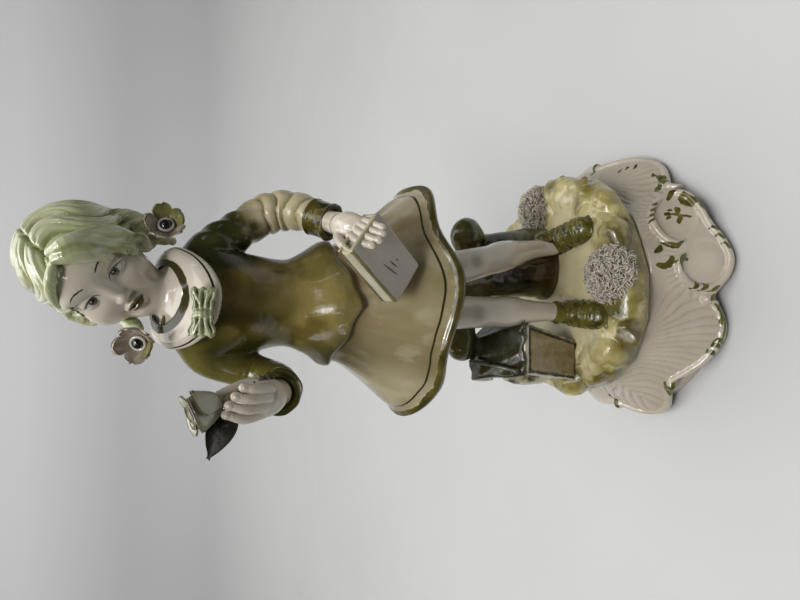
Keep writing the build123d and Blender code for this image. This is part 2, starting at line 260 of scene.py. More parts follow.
def sculpt(shape, low, high, step, block=8):
    """The closed surface where shape is 0, as points (n, 3) and quads (m, 4)."""
    step = step * COARSE
    low, high = np.asarray(low, np.float32), np.asarray(high, np.float32)
    blocks = np.ceil((high - low) / (step * block)).astype(int)
    index = np.indices(blocks).reshape(3, -1)
    middles = low.reshape(3, 1) + (index + 0.5) * step * block
    rough = in_chunks(shape, middles.astype(np.float32))
    live = np.abs(rough) < step * block * 1.25
    grid = np.where(rough < 0, -9.0, 9.0).reshape(blocks).astype(np.float32)
    grid = grid.repeat(block, 0).repeat(block, 1).repeat(block, 2)
    inner = np.indices((block,) * 3).reshape(3, 1, -1)
    cells = (index[:, live][:, :, None] * block + inner).reshape(3, -1)
    spots = (low.reshape(3, 1) + cells * step).astype(np.float32)
    grid[cells[0], cells[1], cells[2]] = in_chunks(shape, spots)
    outer_layers = [grid.take([0, -1], axis) for axis in range(3)]
    if min(layer.min() for layer in outer_layers) < 0:
        raise ValueError("a shape reaches its box and would be left open: %s to %s" % (low, high))
    return surface_nets(grid, low, step, shape)


def surface_nets(grid, low, step, shape):
    inside = grid < 0
    count = np.zeros(np.array(grid.shape) - 1, np.int8)
    corners = [(i, j, k) for i in (0, 1) for j in (0, 1) for k in (0, 1)]
    size = count.shape
    for i, j, k in corners:
        count += inside[i:i + size[0], j:j + size[1], k:k + size[2]]
    mixed = (count > 0) & (count < 8)
    number = np.full(size, -1, np.int64)
    number[mixed] = np.arange(mixed.sum())
    cells = np.array(np.nonzero(mixed))
    place = np.zeros((3, cells.shape[1]), np.float32)
    crossings = np.zeros(cells.shape[1], np.float32)
    for a in corners:
        for axis in range(3):
            if a[axis] == 1:
                continue
            b = tuple(a[n] + (n == axis) for n in range(3))
            da = grid[cells[0] + a[0], cells[1] + a[1], cells[2] + a[2]]
            db = grid[cells[0] + b[0], cells[1] + b[1], cells[2] + b[2]]
            cross = (da < 0) != (db < 0)
            t = np.where(cross, da / np.where(cross, da - db, 1), 0)
            for n in range(3):
                place[n] += cross * (a[n] + (t if n == axis else 0))
            crossings += cross
    points = low.reshape(3, 1) + (cells + place / crossings) * step
    quads = []
    for axis in range(3):
        first, second = (axis + 1) % 3, (axis + 2) % 3
        here = [slice(1, -1)] * 3
        there = [slice(1, -1)] * 3
        here[axis] = slice(0, -1)
        there[axis] = slice(1, None)
        change = inside[tuple(here)] != inside[tuple(there)]
        spots = np.array(np.nonzero(change))
        spots[first] += 1
        spots[second] += 1
        starts_in = inside[spots[0], spots[1], spots[2]]
        ring = []
        for df, ds in ((0, 0), (-1, 0), (-1, -1), (0, -1)):
            cell = spots.copy()
            cell[first] += df
            cell[second] += ds
            ring.append(number[cell[0], cell[1], cell[2]])
        ring = np.array(ring).T
        ring[~starts_in] = ring[~starts_in][:, ::-1]
        quads.append(ring)
    quads = np.concatenate(quads)
    points = points.astype(np.float32)
    for _ in range(2):
        distance = in_chunks(shape, points)
        slope = gradient(shape, points, step * 0.3)
        size2 = np.maximum((slope * slope).sum(0), 0.05)
        move = np.clip(distance / size2, -step * 0.6, step * 0.6)
        points = points - move * slope
    return points.T, quads


# ---------------------------------------------------------------- Blender objects
def mesh_object(name, points, faces, values=None, smooth=True):
    """An object from points in mm, faces as rows of 3 or 4 indices, and named values per point."""
    mesh = bpy.data.meshes.new(name)
    groups = faces if isinstance(faces, list) else [faces]
    loops = np.concatenate([g.ravel() for g in groups])
    sizes = np.concatenate([np.full(len(g), g.shape[1]) for g in groups])
    starts = np.concatenate([[0], np.cumsum(sizes)[:-1]])
    mesh.vertices.add(len(points))
    mesh.vertices.foreach_set("co", (np.asarray(points, np.float32) * MM).ravel())
    mesh.loops.add(len(loops))
    mesh.loops.foreach_set("vertex_index", loops.astype(np.int32))
    mesh.polygons.add(len(sizes))
    mesh.polygons.foreach_set("loop_start", starts.astype(np.int32))
    mesh.polygons.foreach_set("use_smooth", np.full(len(sizes), smooth))
    mesh.update(calc_edges=True)
    for key, value in (values or {}).items():
        layer = mesh.attributes.new(key, "FLOAT", "POINT")
        layer.data.foreach_set("value", np.asarray(value, np.float32))
    thing = bpy.data.objects.new(name, mesh)
    bpy.context.scene.collection.objects.link(thing)
    return thing


def grid_faces(rows, columns, wrap_rows=False, wrap_columns=False):
    """Quads over a grid of points stored row by row."""
    r = np.arange(rows if wrap_rows else rows - 1)
    c = np.arange(columns if wrap_columns else columns - 1)
    r, c = np.meshgrid(r, c, indexing="ij")
    r, c = r.ravel(), c.ravel()
    r2, c2 = (r + 1) % rows, (c + 1) % columns
    return np.stack([r * columns + c, r * columns + c2, r2 * columns + c2, r2 * columns + c], 1)


def sheet_mesh(front, thick):
    """A closed thin body from a grid of points (rows, columns, 3), thickened behind its face."""
    rows, columns = front.shape[:2]
    across = np.gradient(front, axis=1)
    down = np.gradient(front, axis=0)
    normal = np.cross(across, down)
    normal /= np.linalg.norm(normal, axis=2, keepdims=True) + 1e-9
    back = front - normal * (thick if np.isscalar(thick) else thick[..., None])
    points = np.concatenate([front.reshape(-1, 3), back.reshape(-1, 3)])
    count = rows * columns
    face = grid_faces(rows, columns)
    edge = np.concatenate([
        np.arange(columns), np.arange(1, rows) * columns + columns - 1,
        (rows - 1) * columns + np.arange(columns - 2, -1, -1), np.arange(rows - 2, 0, -1) * columns,
    ])
    following = np.roll(edge, -1)
    rim = np.stack([edge, edge + count, following + count, following], 1)
    return points, np.concatenate([face[:, ::-1], face + count, rim])


def finish_piece(thing, nodes, slot, material):
    thing.data.materials.append(material)
    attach(thing, "root")
    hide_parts(*([nodes] if isinstance(nodes, str) else nodes))
    return thing


# ---------------------------------------------------------------- glazes and paints
def tint(red, green, blue):
    """A display colour, 0 to 255, as the linear colour a shader takes."""
    parts = [value / 255 for value in (red, green, blue)]
    return tuple(((part + 0.055) / 1.055) ** 2.4 if part > 0.04 else part / 12.92 for part in parts) + (1.0,)


class Glaze:
    """A ceramic finish built up in layers of paint; every pattern lies in object space."""

    def __init__(self, name, dark, light, grain=70.0):
        self.material = bpy.data.materials.new(name)
        self.material.use_nodes = True
        self.tree = self.material.node_tree
        self.tree.nodes.clear()
        out = self.add("OutputMaterial")
        self.shader = self.add("BsdfPrincipled")
        self.tree.links.new(self.shader.outputs[0], out.inputs["Surface"])
        self.place = self.add("TexCoord").outputs["Object"]
        self.colour = self.blend(self.noise(grain, 3), dark, light)

    def add(self, kind):
        return self.tree.nodes.new("ShaderNode" + kind)

    def feed(self, socket, value):
        if isinstance(value, bpy.types.NodeSocket):
            self.tree.links.new(value, socket)
        else:
            socket.default_value = value

    def noise(self, grain, detail=2.0, stretch=(1, 1, 1)):
        """Noise from 0 to 1 with this many features per metre."""
        node = self.add("TexNoise")
        node.inputs["Scale"].default_value = grain
        node.inputs["Detail"].default_value = detail
        place = self.place
        if stretch != (1, 1, 1):
            mapping = self.add("Mapping")
            mapping.inputs["Scale"].default_value = stretch
            self.tree.links.new(place, mapping.inputs["Vector"])
            place = mapping.outputs["Vector"]
        self.tree.links.new(place, node.inputs["Vector"])
        return self.spread(node.outputs["Fac"], 0.3, 0.7)

    def spread(self, value, none, full, top=1.0):
        """Value none becomes 0 and value full becomes top, held at both ends."""
        node = self.add("MapRange")
        self.feed(node.inputs["Value"], value)
        node.inputs["From Min"].default_value = none
        node.inputs["From Max"].default_value = full
        node.inputs["To Max"].default_value = top
        return node.outputs["Result"]

    def sum(self, a, b, scale=1.0):
        node = self.add("Math")
        node.operation = "MULTIPLY_ADD"
        self.feed(node.inputs[0], b)
        node.inputs[1].default_value = scale
        self.feed(node.inputs[2], a)
        return node.outputs[0]

    def absolute(self, value):
        node = self.add("Math")
        node.operation = "ABSOLUTE"
        self.feed(node.inputs[0], value)
        return node.outputs[0]

    def blend(self, share, a, b):
        node = self.add("Mix")
        node.data_type = "RGBA"
        self.feed(node.inputs["Factor"], share)
        self.feed(node.inputs[6], a)
        self.feed(node.inputs[7], b)
        return node.outputs[2]

    def value(self, key):
        node = self.add("Attribute")
        node.attribute_name = key
        return node.outputs["Fac"]

    def paint(self, key, none, full, dark, light=None, fray=0.0, grain=300.0, top=1.0, stretch=(1, 1, 1)):
        """A coat where the named value runs from none to full, with a frayed brush edge."""
        field = self.value(key)
        if fray:
            field = self.sum(field, self.sum(-0.5, self.noise(grain, 2, stretch)), 2 * fray)
        share = self.spread(field, none, full, top)
        colour = dark if light is None else self.blend(self.noise(grain * 0.6, 3, stretch), dark, light)
        self.colour = self.blend(share, self.colour, colour)
        return self

    def cloud(self, colour, none, full, grain, top=1.0, stretch=(1, 1, 1)):
        """Patches of a colour wherever the noise is high."""
        self.colour = self.blend(self.spread(self.noise(grain, 3, stretch), none, full, top), self.colour,
            colour)
        return self

    def fired(self, rough=(0.10, 0.22), bump=0.00012, grain=160.0, coat=0.6, fine=0.00002, shine=0.5):
        """The finished glaze: base colour, gloss that wanders, and a faint orange-peel surface."""
        shader = self.shader
        self.tree.links.new(self.colour, shader.inputs["Base Color"])
        gloss = self.add("MapRange")
        self.tree.links.new(self.noise(grain * 0.7, 3), gloss.inputs["Value"])
        gloss.inputs["To Min"].default_value = rough[0]
        gloss.inputs["To Max"].default_value = rough[1]
        self.tree.links.new(gloss.outputs["Result"], shader.inputs["Roughness"])
        shader.inputs["IOR"].default_value = 1.5
        shader.inputs["Specular IOR Level"].default_value = shine
        if coat:
            shader.inputs["Coat Weight"].default_value = coat
            shader.inputs["Coat Roughness"].default_value = 0.05
        height = self.sum(self.sum(0.0, self.noise(grain, 2), bump), self.noise(grain * 7, 2), fine)
        node = self.add("Bump")
        node.inputs["Strength"].default_value = 1.0
        node.inputs["Distance"].default_value = 1.0
        self.tree.links.new(height, node.inputs["Height"])
        self.tree.links.new(node.outputs["Normal"], shader.inputs["Normal"])
        return self.material


# ---------------------------------------------------------------- plinth
# Angles run in degrees round the plinth from the middle of its cartouche; the back half
# repeats the front half. Heights are mm above the shelf.
CARTOUCHE_AT = -67.0
MM_PER_DEGREE = 1.27
PLINTH_REACH = curve([(-14, 75), (0, 72), (14, 75), (31, 71), (46, 76), (68, 79.5), (90, 82), (112, 79.5)])
PLINTH_WALL = curve([(-3, 1.0), (3, 1.0), (10, 0.97), (20, 0.87), (30, 0.78), (38, 0.72), (42, 0.70)])
RIM_LINE = curve([
    (-12, 4.5), (0, 5), (12, 4.5), (22, 6), (29, 10.5), (33, 8.5), (38, 5.6), (42, 4.5), (48, 5.2), (56, 8.5),
    (64, 12.5), (73, 15.5), (79, 12), (85, 7), (92, 5), (100, 6),
])
FRAME_LINE = [
    (-11, 23.4), (-13, 25.6), (-16, 26), (-20, 24.8), (-25, 20), (-26.3, 13), (-22.5, 7), (-15, 4.2),
    (-7, 5.2),
    (2, 8), (9, 10), (18, 11.4), (23, 14.5), (22.6, 21.5), (17, 28.8), (8, 31), (0, 27.6), (-4, 24),
    (-3.5, 21),
]
# the lower edge of that scrolled frame
FRAME_FOOT = np.array(FRAME_LINE[5:13])
# olive brush marks: angle, height and half-width along each stroke
DABS = [
    [(-53.6, 10.4, 0.2), (-52.6, 8.6, 1.0), (-53.4, 7.2, 0.4)],
    [(-50.4, 9, 0.2), (-49.4, 7.2, 0.9), (-50.2, 5.9, 0.3)],
    [(-48.2, 8.2, 0.2), (-47.2, 6.4, 0.9), (-48, 5.0, 0.3)],
    [(-45.5, 5.4, 0.3), (-41, 4.9, 0.7), (-36.5, 5.4, 0.9), (-33.6, 7.4, 0.3)],
    [(-42, 6.8, 0.2), (-37.5, 6.6, 0.6), (-34.4, 8.4, 0.8), (-33, 10, 0.3)],
    [(-31.2, 12.6, 0.7), (-30.2, 10.6, 1.5), (-31.4, 8.6, 0.7)],
    [(-28, 12.9, 0.3), (-26.6, 11.2, 0.9), (-25.6, 9.9, 0.4)],
    [(-27.8, 16.4, 0.4), (-25.6, 15.2, 0.8), (-24.8, 14.2, 0.3)],
    [(-27, 19.6, 0.4), (-25, 18.6, 0.8), (-24, 17.4, 0.3)],
    [(-18.5, 25, 0.3), (-14.6, 25.6, 1.0), (-12, 24, 1.5), (-13, 22, 0.8)],
    [(-14.6, 34, 1.2), (-15.6, 31.4, 1.8), (-13.4, 29, 1.3), (-10.4, 28.2, 0.4)],
    [(-7.4, 34, 0.7), (-6, 32, 1.4), (-3.4, 30.6, 0.3)],
    [(-2, 29.5, 0.2), (-4.6, 27.2, 1.1), (-5.6, 24.8, 1.5), (-4.4, 22.4, 0.7)],
    [(10.4, 32.4, 0.5), (11.2, 29.8, 0.8)],
    [(13.2, 31.6, 0.6), (14, 28.6, 0.8)], [(16, 30.2, 0.6), (16.8, 27, 0.8)],
    [(19, 28, 0.5), (19.6, 25.4, 0.7)],
    [(20.6, 17.4, 0.6), (22.4, 16.4, 1.3), (22.6, 14.6, 0.5)],
    [(19, 13.5, 0.4), (15.6, 13.8, 1.2), (13, 11.6, 1.4), (14.6, 9.8, 0.8)],
    [(12, 10.6, 0.5), (10, 9.4, 1.6), (6, 8.4, 1.1), (3.4, 8.2, 0.2)], [(0, 8.6, 0.3), (-1.6, 6.8, 0.8)],
    [(-4, 7.6, 0.3), (-5.6, 6, 0.8)], [(-8, 6.4, 0.3), (-10, 5.0, 0.7)],
    [(30, 17, 0.9), (31.6, 13.6, 1.5), (31, 11, 0.7)],
    [(33.4, 11, 0.9), (36.4, 10.6, 1.2), (40, 12.6, 0.2)],
    [(73, 20.4, 0.8), (74.6, 18.2, 1.2), (73.2, 16.4, 0.5)],
    [(55.6, 19.6, 0.4), (56, 17.6, 0.8)], [(53.4, 17.2, 0.3), (53.8, 15.4, 0.7)],
    [(50.2, 14.6, 0.3), (50.8, 12.8, 0.6)],
    [(-74.5, 17, 1.0), (-76.5, 13.6, 1.7), (-73, 12.6, 0.6)],
    [(-67, 14.4, 0.2), (-70.5, 15.4, 0.7), (-73.5, 16.4, 0.9)],
    # a small sprig on the panel: two leaves and three buds on a stem
    [(7.4, 13.8, 0.25), (10, 18, 0.4), (12.6, 22.4, 0.3)],
    [(9.6, 17.4, 0.2), (7.4, 18.8, 1.0), (5.8, 19.0, 0.15)],
    [(10.6, 18.8, 0.2), (12.8, 17.8, 1.0), (14.6, 18.0, 0.15)], [(12.6, 22.4, 0.9), (12.8, 22.9, 0.9)],
    [(10.4, 22.4, 0.6), (10.2, 23, 0.6)], [(14, 20.6, 0.6), (14.3, 21, 0.6)],
]


def plinth_polar(p):
    angle = np.degrees(np.arctan2(p[1], p[0])) - CARTOUCHE_AT
    return (angle + 90) % 180 - 90, np.hypot(p[0], p[1])


def plinth_skin(angle, z):
    """Smooth radius of the outer wall."""
    reach = np.interp(np.abs(angle), PLINTH_REACH[:, 0], PLINTH_REACH[:, 1])
    return reach * np.interp(z, PLINTH_WALL[:, 0], PLINTH_WALL[:, 1])


def plinth_panel(angle, z):
    """Distance measure of the two-lobed cartouche, 1 on its edge and less inside."""
    left = np.hypot((angle + 15.2) / 11.6, (z - 14) / 9.8)
    right = np.hypot((angle - 11) / 11.0, (z - 20) / 10.0)
    return np.minimum(left, right)


def plinth_relief(angle, z):
    """How far the moulded flutes, gadroons and panel stand out, and how deep their grooves are; the glaze is
    painted darker down the grooves as shade.
    """
    turned = np.abs(angle)
    rim = np.interp(turned, RIM_LINE[:, 0], RIM_LINE[:, 1])
    lift = np.clip(z - rim, 0, 40)
    phase = (turned - 0.020 * lift * lift) * MM_PER_DEGREE * math.pi / 4.4
    flute = np.abs(np.sin(phase)) ** 0.75 - 0.6
    shells = ramp(turned, 27, 34) * ramp(z, 37, 27) * ramp(lift, 0.5, 5)
    panel = plinth_panel(angle, z)
    around = np.where(angle < -1, np.arctan2(z - 14, (angle + 14) * 1.2),
        np.arctan2(z - 20, (angle - 11) * 1.2))
    gadroon = np.abs(np.sin(around * 15)) ** 0.8 - 0.6
    band = ramp(panel, 1.18, 1.32) * ramp(panel, 1.85, 1.6) * ramp(z, 12, 16) * ramp(z, 38,
        35) * ramp(turned, 33, 29)
    sunk = ramp(panel, 1.0, 0.82)
    groove = np.clip(-flute, 0, 1) * shells + np.clip(-gadroon, 0, 1) * band
    return 1.6 * flute * shells + 1.2 * gadroon * band - 1.0 * sunk, groove


def plinth_rows(line, radius, out=0.6):
    """Points in space for a bead laid on the wall along angle and height."""
    line = np.asarray(line, float)
    reach = plinth_skin(line[:, 0], line[:, 1]) + out
    way = np.radians(line[:, 0] + CARTOUCHE_AT)
    size = np.interp(np.linspace(0, 1, len(line)), np.linspace(0, 1, len(radius)), radius)
    return np.stack([reach * np.cos(way), reach * np.sin(way), line[:, 1], size], 1)


PLINTH_FRAME = plinth_rows(FRAME_LINE, [1.2, 1.9, 1.8, 1.9, 1.9, 1.8, 1.9, 1.9, 1.2])


def plinth(p):
    angle, reach = plinth_polar(p)
    way = np.radians(angle + CARTOUCHE_AT)
    q = np.stack([reach * np.cos(way), reach * np.sin(way), p[2]]).astype(np.float32)
    turned = np.abs(angle)
    rim = np.interp(turned, RIM_LINE[:, 0], RIM_LINE[:, 1])
    relief, _ = plinth_relief(angle, p[2])
    under = np.where(turned > 26, rim, np.interp(angle, FRAME_FOOT[:, 0], FRAME_FOOT[:, 1]))
    tuck = 7.0 * ramp(p[2], under + 0.5, under - 2.2)
    wall = (reach - plinth_skin(angle, p[2]) - relief + tuck) * 0.85
    line = plinth_skin(turned, rim)
    bead = np.hypot(reach - line + 0.3, (p[2] - rim) * 0.86) - 2.0
    bead = np.where(turned > 25, bead, 9.0)
    body = join(wall, bead, 0.8)
    body = join(body, tube(q, PLINTH_FRAME, 4), 0.9)
    for at, height in ((31.5, 12.5), (74.0, 15.0)):
        for side in (-1, 1):
            knob = plinth_rows([(side * at, height)], [3.0])[0]
            body = join(body, ball(q, knob[:3], 2.9), 0.8)
    top = node_box("base")[1][2]
    body = both(body, p[2] - top, 1.5)
    body = both(body, 0.02 - p[2], 0.6)
    hollow = both(reach - plinth_skin(angle, p[2]) + 11.0, p[2] - (top - 5), 2.0)
    return cut(body, hollow, 1.0)


def plinth_marks(p):
    angle, _ = plinth_polar(p)
    marks = np.full(angle.shape, 20.0, np.float32)
    for mark in DABS:
        rows = np.array(mark, float)
        rows[:, 0] *= MM_PER_DEGREE
        marks = np.minimum(marks, stroke(angle * MM_PER_DEGREE, p[2], rows, 4))
    return marks


def build_plinth():
    low, high = node_box("base")
    points, faces = sculpt(plinth, low - (6, 6, 3), high + (6, 6, 6), 0.92)
    p = points.T
    angle, _ = plinth_polar(p)
    # the groove depth sets the painted shade in the grooves
    _, groove = plinth_relief(angle, p[2])
    return points, faces, {"dab": plinth_marks(p), "groove": groove}


def plinth_glaze():
    white = Glaze("plinth_glaze", tint(180, 170, 152), tint(198, 188, 171), 40)
    # painted shade: darker glaze down the grooves of the flutes and gadroons
    white.paint("groove", 0.0, 0.6, tint(156, 142, 116), top=0.6)
    white.paint("dab", 0.42, 0.18, tint(52, 54, 16), tint(106, 102, 42), fray=0.25, grain=420)
    return white.fired(rough=(0.10, 0.2), coat=0.5)


# ---------------------------------------------------------------- ground
def mound_polar(p):
    """Share of the way from the middle of the mound to its rim, and the angle round it."""
    q = local(p, (0, 1, 0), turn(z=21.5))
    return np.hypot(q[0] / 65, q[1] / 55), np.degrees(np.arctan2(q[1] / 55, q[0] / 65))


RIM_LEAF_COUNT = 18
RIM_FACET_COUNT = 84


def rim_leaves():
    """Pressed leaves that hang over the rim: place, half sizes and axes of each."""
    rng = np.random.default_rng(7)
    leaves = []
    for i in range(RIM_LEAF_COUNT):
        way = math.radians(i * 360 / RIM_LEAF_COUNT + rng.uniform(-3, 3) + 21.5)
        share = rng.uniform(0.80, 0.95)
        reach = 1.0 / math.hypot(math.cos(way - math.radians(21.5)) / 65,
            math.sin(way - math.radians(21.5)) / 55)
        at = (share * reach * math.cos(way), 1 + share * reach * math.sin(way),
            56.2 - 13 * (share - 0.72) - rng.uniform(0, 1.5))
        drop = rng.uniform(0.25, 0.75)
        axes = facing((math.cos(way + rng.uniform(-0.5, 0.5)), math.sin(way + rng.uniform(-0.5, 0.5)), -drop))
        leaves.append((at, (rng.uniform(4.6, 6.4), rng.uniform(1.4, 2.0), rng.uniform(6.5, 9.5)), axes))
    return leaves


RIM_LEAVES = rim_leaves()


def rim_facets():
    """Overlapping tilted leaf faces pressed into the rim: place, size and tilt of each."""
    rng = np.random.default_rng(19)
    facets = []
    for i in range(RIM_FACET_COUNT):
        way = math.radians(i * 222.5)
        share = rng.uniform(0.62, 1.0)
        at = (share * 64 * math.cos(way), 1 + share * 56 * math.sin(way), 56.0 - 9 * max(share - 0.8, 0))
        facets.append((at, rng.uniform(6.0, 8.8), rng.normal(size=3) * 0.26))
    return facets


RIM_FACETS = rim_facets()


def facet_height(p):
    """Height in mm of the highest leaf face over each point, with a crisp crease between faces."""
    best = np.full(p.shape[1], -1.3, np.float32)
    for at, size, tilt in RIM_FACETS:
        q = p - column(at)
        away = length(q) / size
        slope = tilt[0] * q[0] + tilt[1] * q[1] + tilt[2] * q[2]
        best = np.maximum(best, 2.6 - 3.4 * away ** 1.3 + slope)
    return np.minimum(best, 3.4)


def mound_folds(p, share, angle):
    warp = waves(p, 26, 3) * 0.7 + share * 2.0
    wide = 1 - np.abs(np.sin(np.radians(angle) * 8 + warp))
    fine = 1 - np.abs(np.sin(np.radians(angle) * 21 + warp * 2.3 + 1))
    return wide, fine


def mound(p):
    share, angle = mound_polar(p)
    wide, fine = mound_folds(p, share, angle)
    near_rim = ramp(share, 0.55, 0.85)
    relief = near_rim * (0.7 * wide + 0.3 * fine - 0.6) + 0.2 * waves(p, 16, 4)
    side = (share - 1) * 57 - 0.9 * wide
    high = np.abs(p[2] - 46.6) - 9.0
    q0, q1 = side + 6.5, high + 6.5
    disc = np.hypot(np.maximum(q0, 0), np.maximum(q1, 0)) + np.minimum(np.maximum(q0, q1), 0) - 6.5
    body = disc - relief * ramp(p[2], 44, 50)
    close = np.abs(disc) < 9
    if close.any():
        q = p[:, close]
        rim = body[close] - facet_height(q) * ramp(share[close], 0.58, 0.78) * ramp(q[2], 40, 46)
        for at, half, axes in RIM_LEAVES:
            rim = join(rim, ellipsoid(q, at, half, axes), 0.45)
        body[close] = rim
    return both(body * 0.85, 37.5 - p[2], 0.5)


def mound_values(p):
    share, _ = mound_polar(p)
    # dark olive patches round the rim; the three in front, under the front tuft, are painted shadow
    dark = np.full(share.shape, 99.0, np.float32)
    for x, y, size in ((-12, -46, 13), (6, -50, 12), (20, -46, 12), (-52, -14, 12), (-58, -4, 9),
        (55, 16, 9), (58, 4, 7), (46, -20, 5)):
        dark = np.minimum(dark, np.hypot(p[0] - x, p[1] - y) - size)
    crease = ramp(facet_height(p), 0.4, -1.0) * ramp(share, 0.55, 0.75)
    return {"share": share, "crease": crease, "dark": dark, "height": p[2]}


def build_mound():
    low, high = node_box("ground_mound")
    points, faces = sculpt(mound, low - 9, high + 9, 0.6)
    return points, faces, mound_values(points.T)


def mound_glaze():
    ground = Glaze("ground_glaze", tint(198, 184, 138), tint(214, 206, 172), 30)
    ground.cloud(tint(150, 132, 70), 0.6, 0.95, 34, 0.5)
    ground.paint("share", 0.62, 0.98, tint(120, 108, 40), tint(206, 192, 126), fray=0.22, grain=80)
    ground.cloud(tint(208, 198, 152), 0.62, 0.85, 80, 0.65)
    ground.paint("crease", 0.2, 0.8, tint(66, 58, 15), tint(120, 102, 40), fray=0.15, grain=120, top=0.9)
    # dark olive patches on the rim, the front three being painted shadow of the tuft
    ground.paint("dark", 1.0, -7.0, tint(58, 54, 14), tint(116, 106, 40), fray=5.0, grain=120, top=0.85)
    ground.paint("height", 48.0, 42.0, tint(92, 88, 40), tint(150, 140, 92), fray=4.0, grain=150, top=0.85)
    return ground.fired(rough=(0.10, 0.26), bump=0.0003, grain=170, coat=0.5)


# ---------------------------------------------------------------- tree stump
STUMP_LOW, STUMP_HIGH = node_box("tree_stump")


def stump(p):
    bark = 0.5 * np.abs(np.sin(np.arctan2(p[1] - 13, p[0] - 9) * 5 + waves(p, 30, 11))) + 0.3 * waves(p, 9,
        12)
    trunk = tube(p * column((1, 1.35, 1)), [
        (9, 17, 46, 18), (9, 17, 56, 18.6), (8.6, 17, 62, 17.4), (6.4, 17.6, 85, 15.8), (2, 19, 110, 13.8),
        (0, 19, 135, 12.4), (0, 17.6, 168, 10.6),
    ], 4) * 0.85
    lip = torus(p, (9.4, 12, 56.4), 15.4, 2.6, None, (1.05, 0.78))
    branch = tube(p, [(4, 14, 112, 8.6), (-15, 15, 113.4, 7.4), (-30, 15, 112.4, 7.7), (-38, 15, 113, 7.9)],
        4)
    root = [(25, 14, 48, 9.6), (25, 14, 70, 8.0), (24, 14, 86, 6.0), (24, 14.5, 100, 4.6), (25, 15, 106, 7.0)]
    stem = tube(p, root, 4)
    knob = ellipsoid(p, (26.4, 15, 109.4), (11, 8.8, 9.4))
    body = join(join(trunk, lip, 3.0), join(branch, join(stem, knob, 3.0), 4.0), 5.0)
    hollow = ball(p, (19, 8, 112), 2.2)
    body = cut(body, hollow, 2.0)
    body = both(body - 0.6 * bark, p[2] - STUMP_HIGH[2], 1.0)
    return both(body, STUMP_LOW[2] - 2 - p[2], 0.6)


def build_stump():
    points, faces = sculpt(stump, STUMP_LOW - 8, STUMP_HIGH + 8, 0.7)
    p = points.T
    return points, faces, {"height": p[2], "side": p[0]}


def stump_glaze():
    bark = Glaze("stump_glaze", tint(124, 112, 56), tint(170, 156, 102), 60)
    bark.cloud(tint(74, 68, 24), 0.5, 0.8, 90, 0.7, (1, 1, 0.5))
    bark.cloud(tint(158, 150, 108), 0.6, 0.85, 75, 0.6)
    # near black on the stump's top, branch and knob, up under the skirt: painted shadow
    bark.paint("height", 116, 98, tint(22, 16, 5), tint(78, 58, 20), fray=7, grain=80, stretch=(1, 1, 0.35))
    bark.paint("side", 24, 30, tint(72, 72, 26), tint(122, 114, 62), fray=2.5, grain=110)
    bark.paint("height", 60, 54, tint(58, 46, 12), tint(92, 76, 28), fray=4, grain=90, top=0.7)
    bark.paint("side", 2, -10, tint(80, 76, 34), tint(130, 122, 72), fray=3, grain=90)
    return bark.fired(rough=(0.08, 0.24), bump=0.0003, grain=140, coat=0.5)


# ---------------------------------------------------------------- satchel
SATCHEL_LOW, SATCHEL_HIGH = node_box("satchel_body")
SATCHEL_FOOT = SATCHEL_LOW[2] + 3.0
SATCHEL_SHOULDER = SATCHEL_FOOT + 41.0


def satchel_across(p):
    """Place across the front, -11 at its right edge and 11 at its left; it widens upwards."""
    rise = p[2] - SATCHEL_FOOT
    return (p[0] + 46 - 0.236 * rise) * 11 / (11 + 0.082 * rise)


def walls(p, rows, soft):
    """The body behind a set of flat walls: a point on each wall and its outward direction."""
    body = None
    for at, way in rows:
        way = unit(way)
        wall = (p[0] - at[0]) * way[0] + (p[1] - at[1]) * way[1] + (p[2] - at[2]) * way[2]
        body = wall if body is None else both(body, wall, soft)
    return body


def satchel(p):
    foot, shoulder = SATCHEL_FOOT, SATCHEL_SHOULDER
    body = walls(p, [
        ((-57, 0, foot), (-1, 0, 0.152)), ((-35, 0, foot), (1, 0, -0.317)),
        ((0, -17.2, foot), (0, -1, -0.05)),
        ((0, 12.6, foot), (0, 1, 0)), ((0, 0, foot - 3.5), (0, 0, -1)),
        ((0, -18, shoulder - 1), (0, -0.53, 0.85)),
        ((-25, 0, shoulder - 1), (0.82, 0, 0.58)), ((0, 0, shoulder + 15), (0, 0, 1)),
    ], 1.8)
    body = join(body, ellipsoid(p, (-54.6, 0, foot + 24), (5.2, 10, 17)), 3.0)
    across = satchel_across(p)
    panel = np.maximum(np.abs(across) - 9.2, np.abs(p[2] - foot - 20) - 16.6)
    groove = 0.7 * np.exp(-(panel / 0.7) ** 2) * ramp(p[1], -14, -16.2)
    return (body + groove + 0.12 * waves(p, 7, 21)) * 0.93


def flap_hem(p):
    """Height of the draped flap's wavy lower edge."""
    front = ramp(p[1], -8, -15)
    hem = SATCHEL_SHOULDER - 0.2 + 0.9 * np.sin(p[0] * 0.5 + 1) - 1.6 * np.exp(-((p[0] + 51) / 2.6) ** 2)
    side = SATCHEL_SHOULDER + 3.5 + 3.0 * np.sin(p[1] * 0.42 + 1.0) + 0.1 * p[1]
    side = side - 6.0 * ramp(p[0], -42, -32)
    return side + (hem - side) * front


FLAP_CREST = [(-45, 4, 113.4), (-46, -4, 108.6), (-47.4, -11, 103.2), (-49, -17, 97.6)]


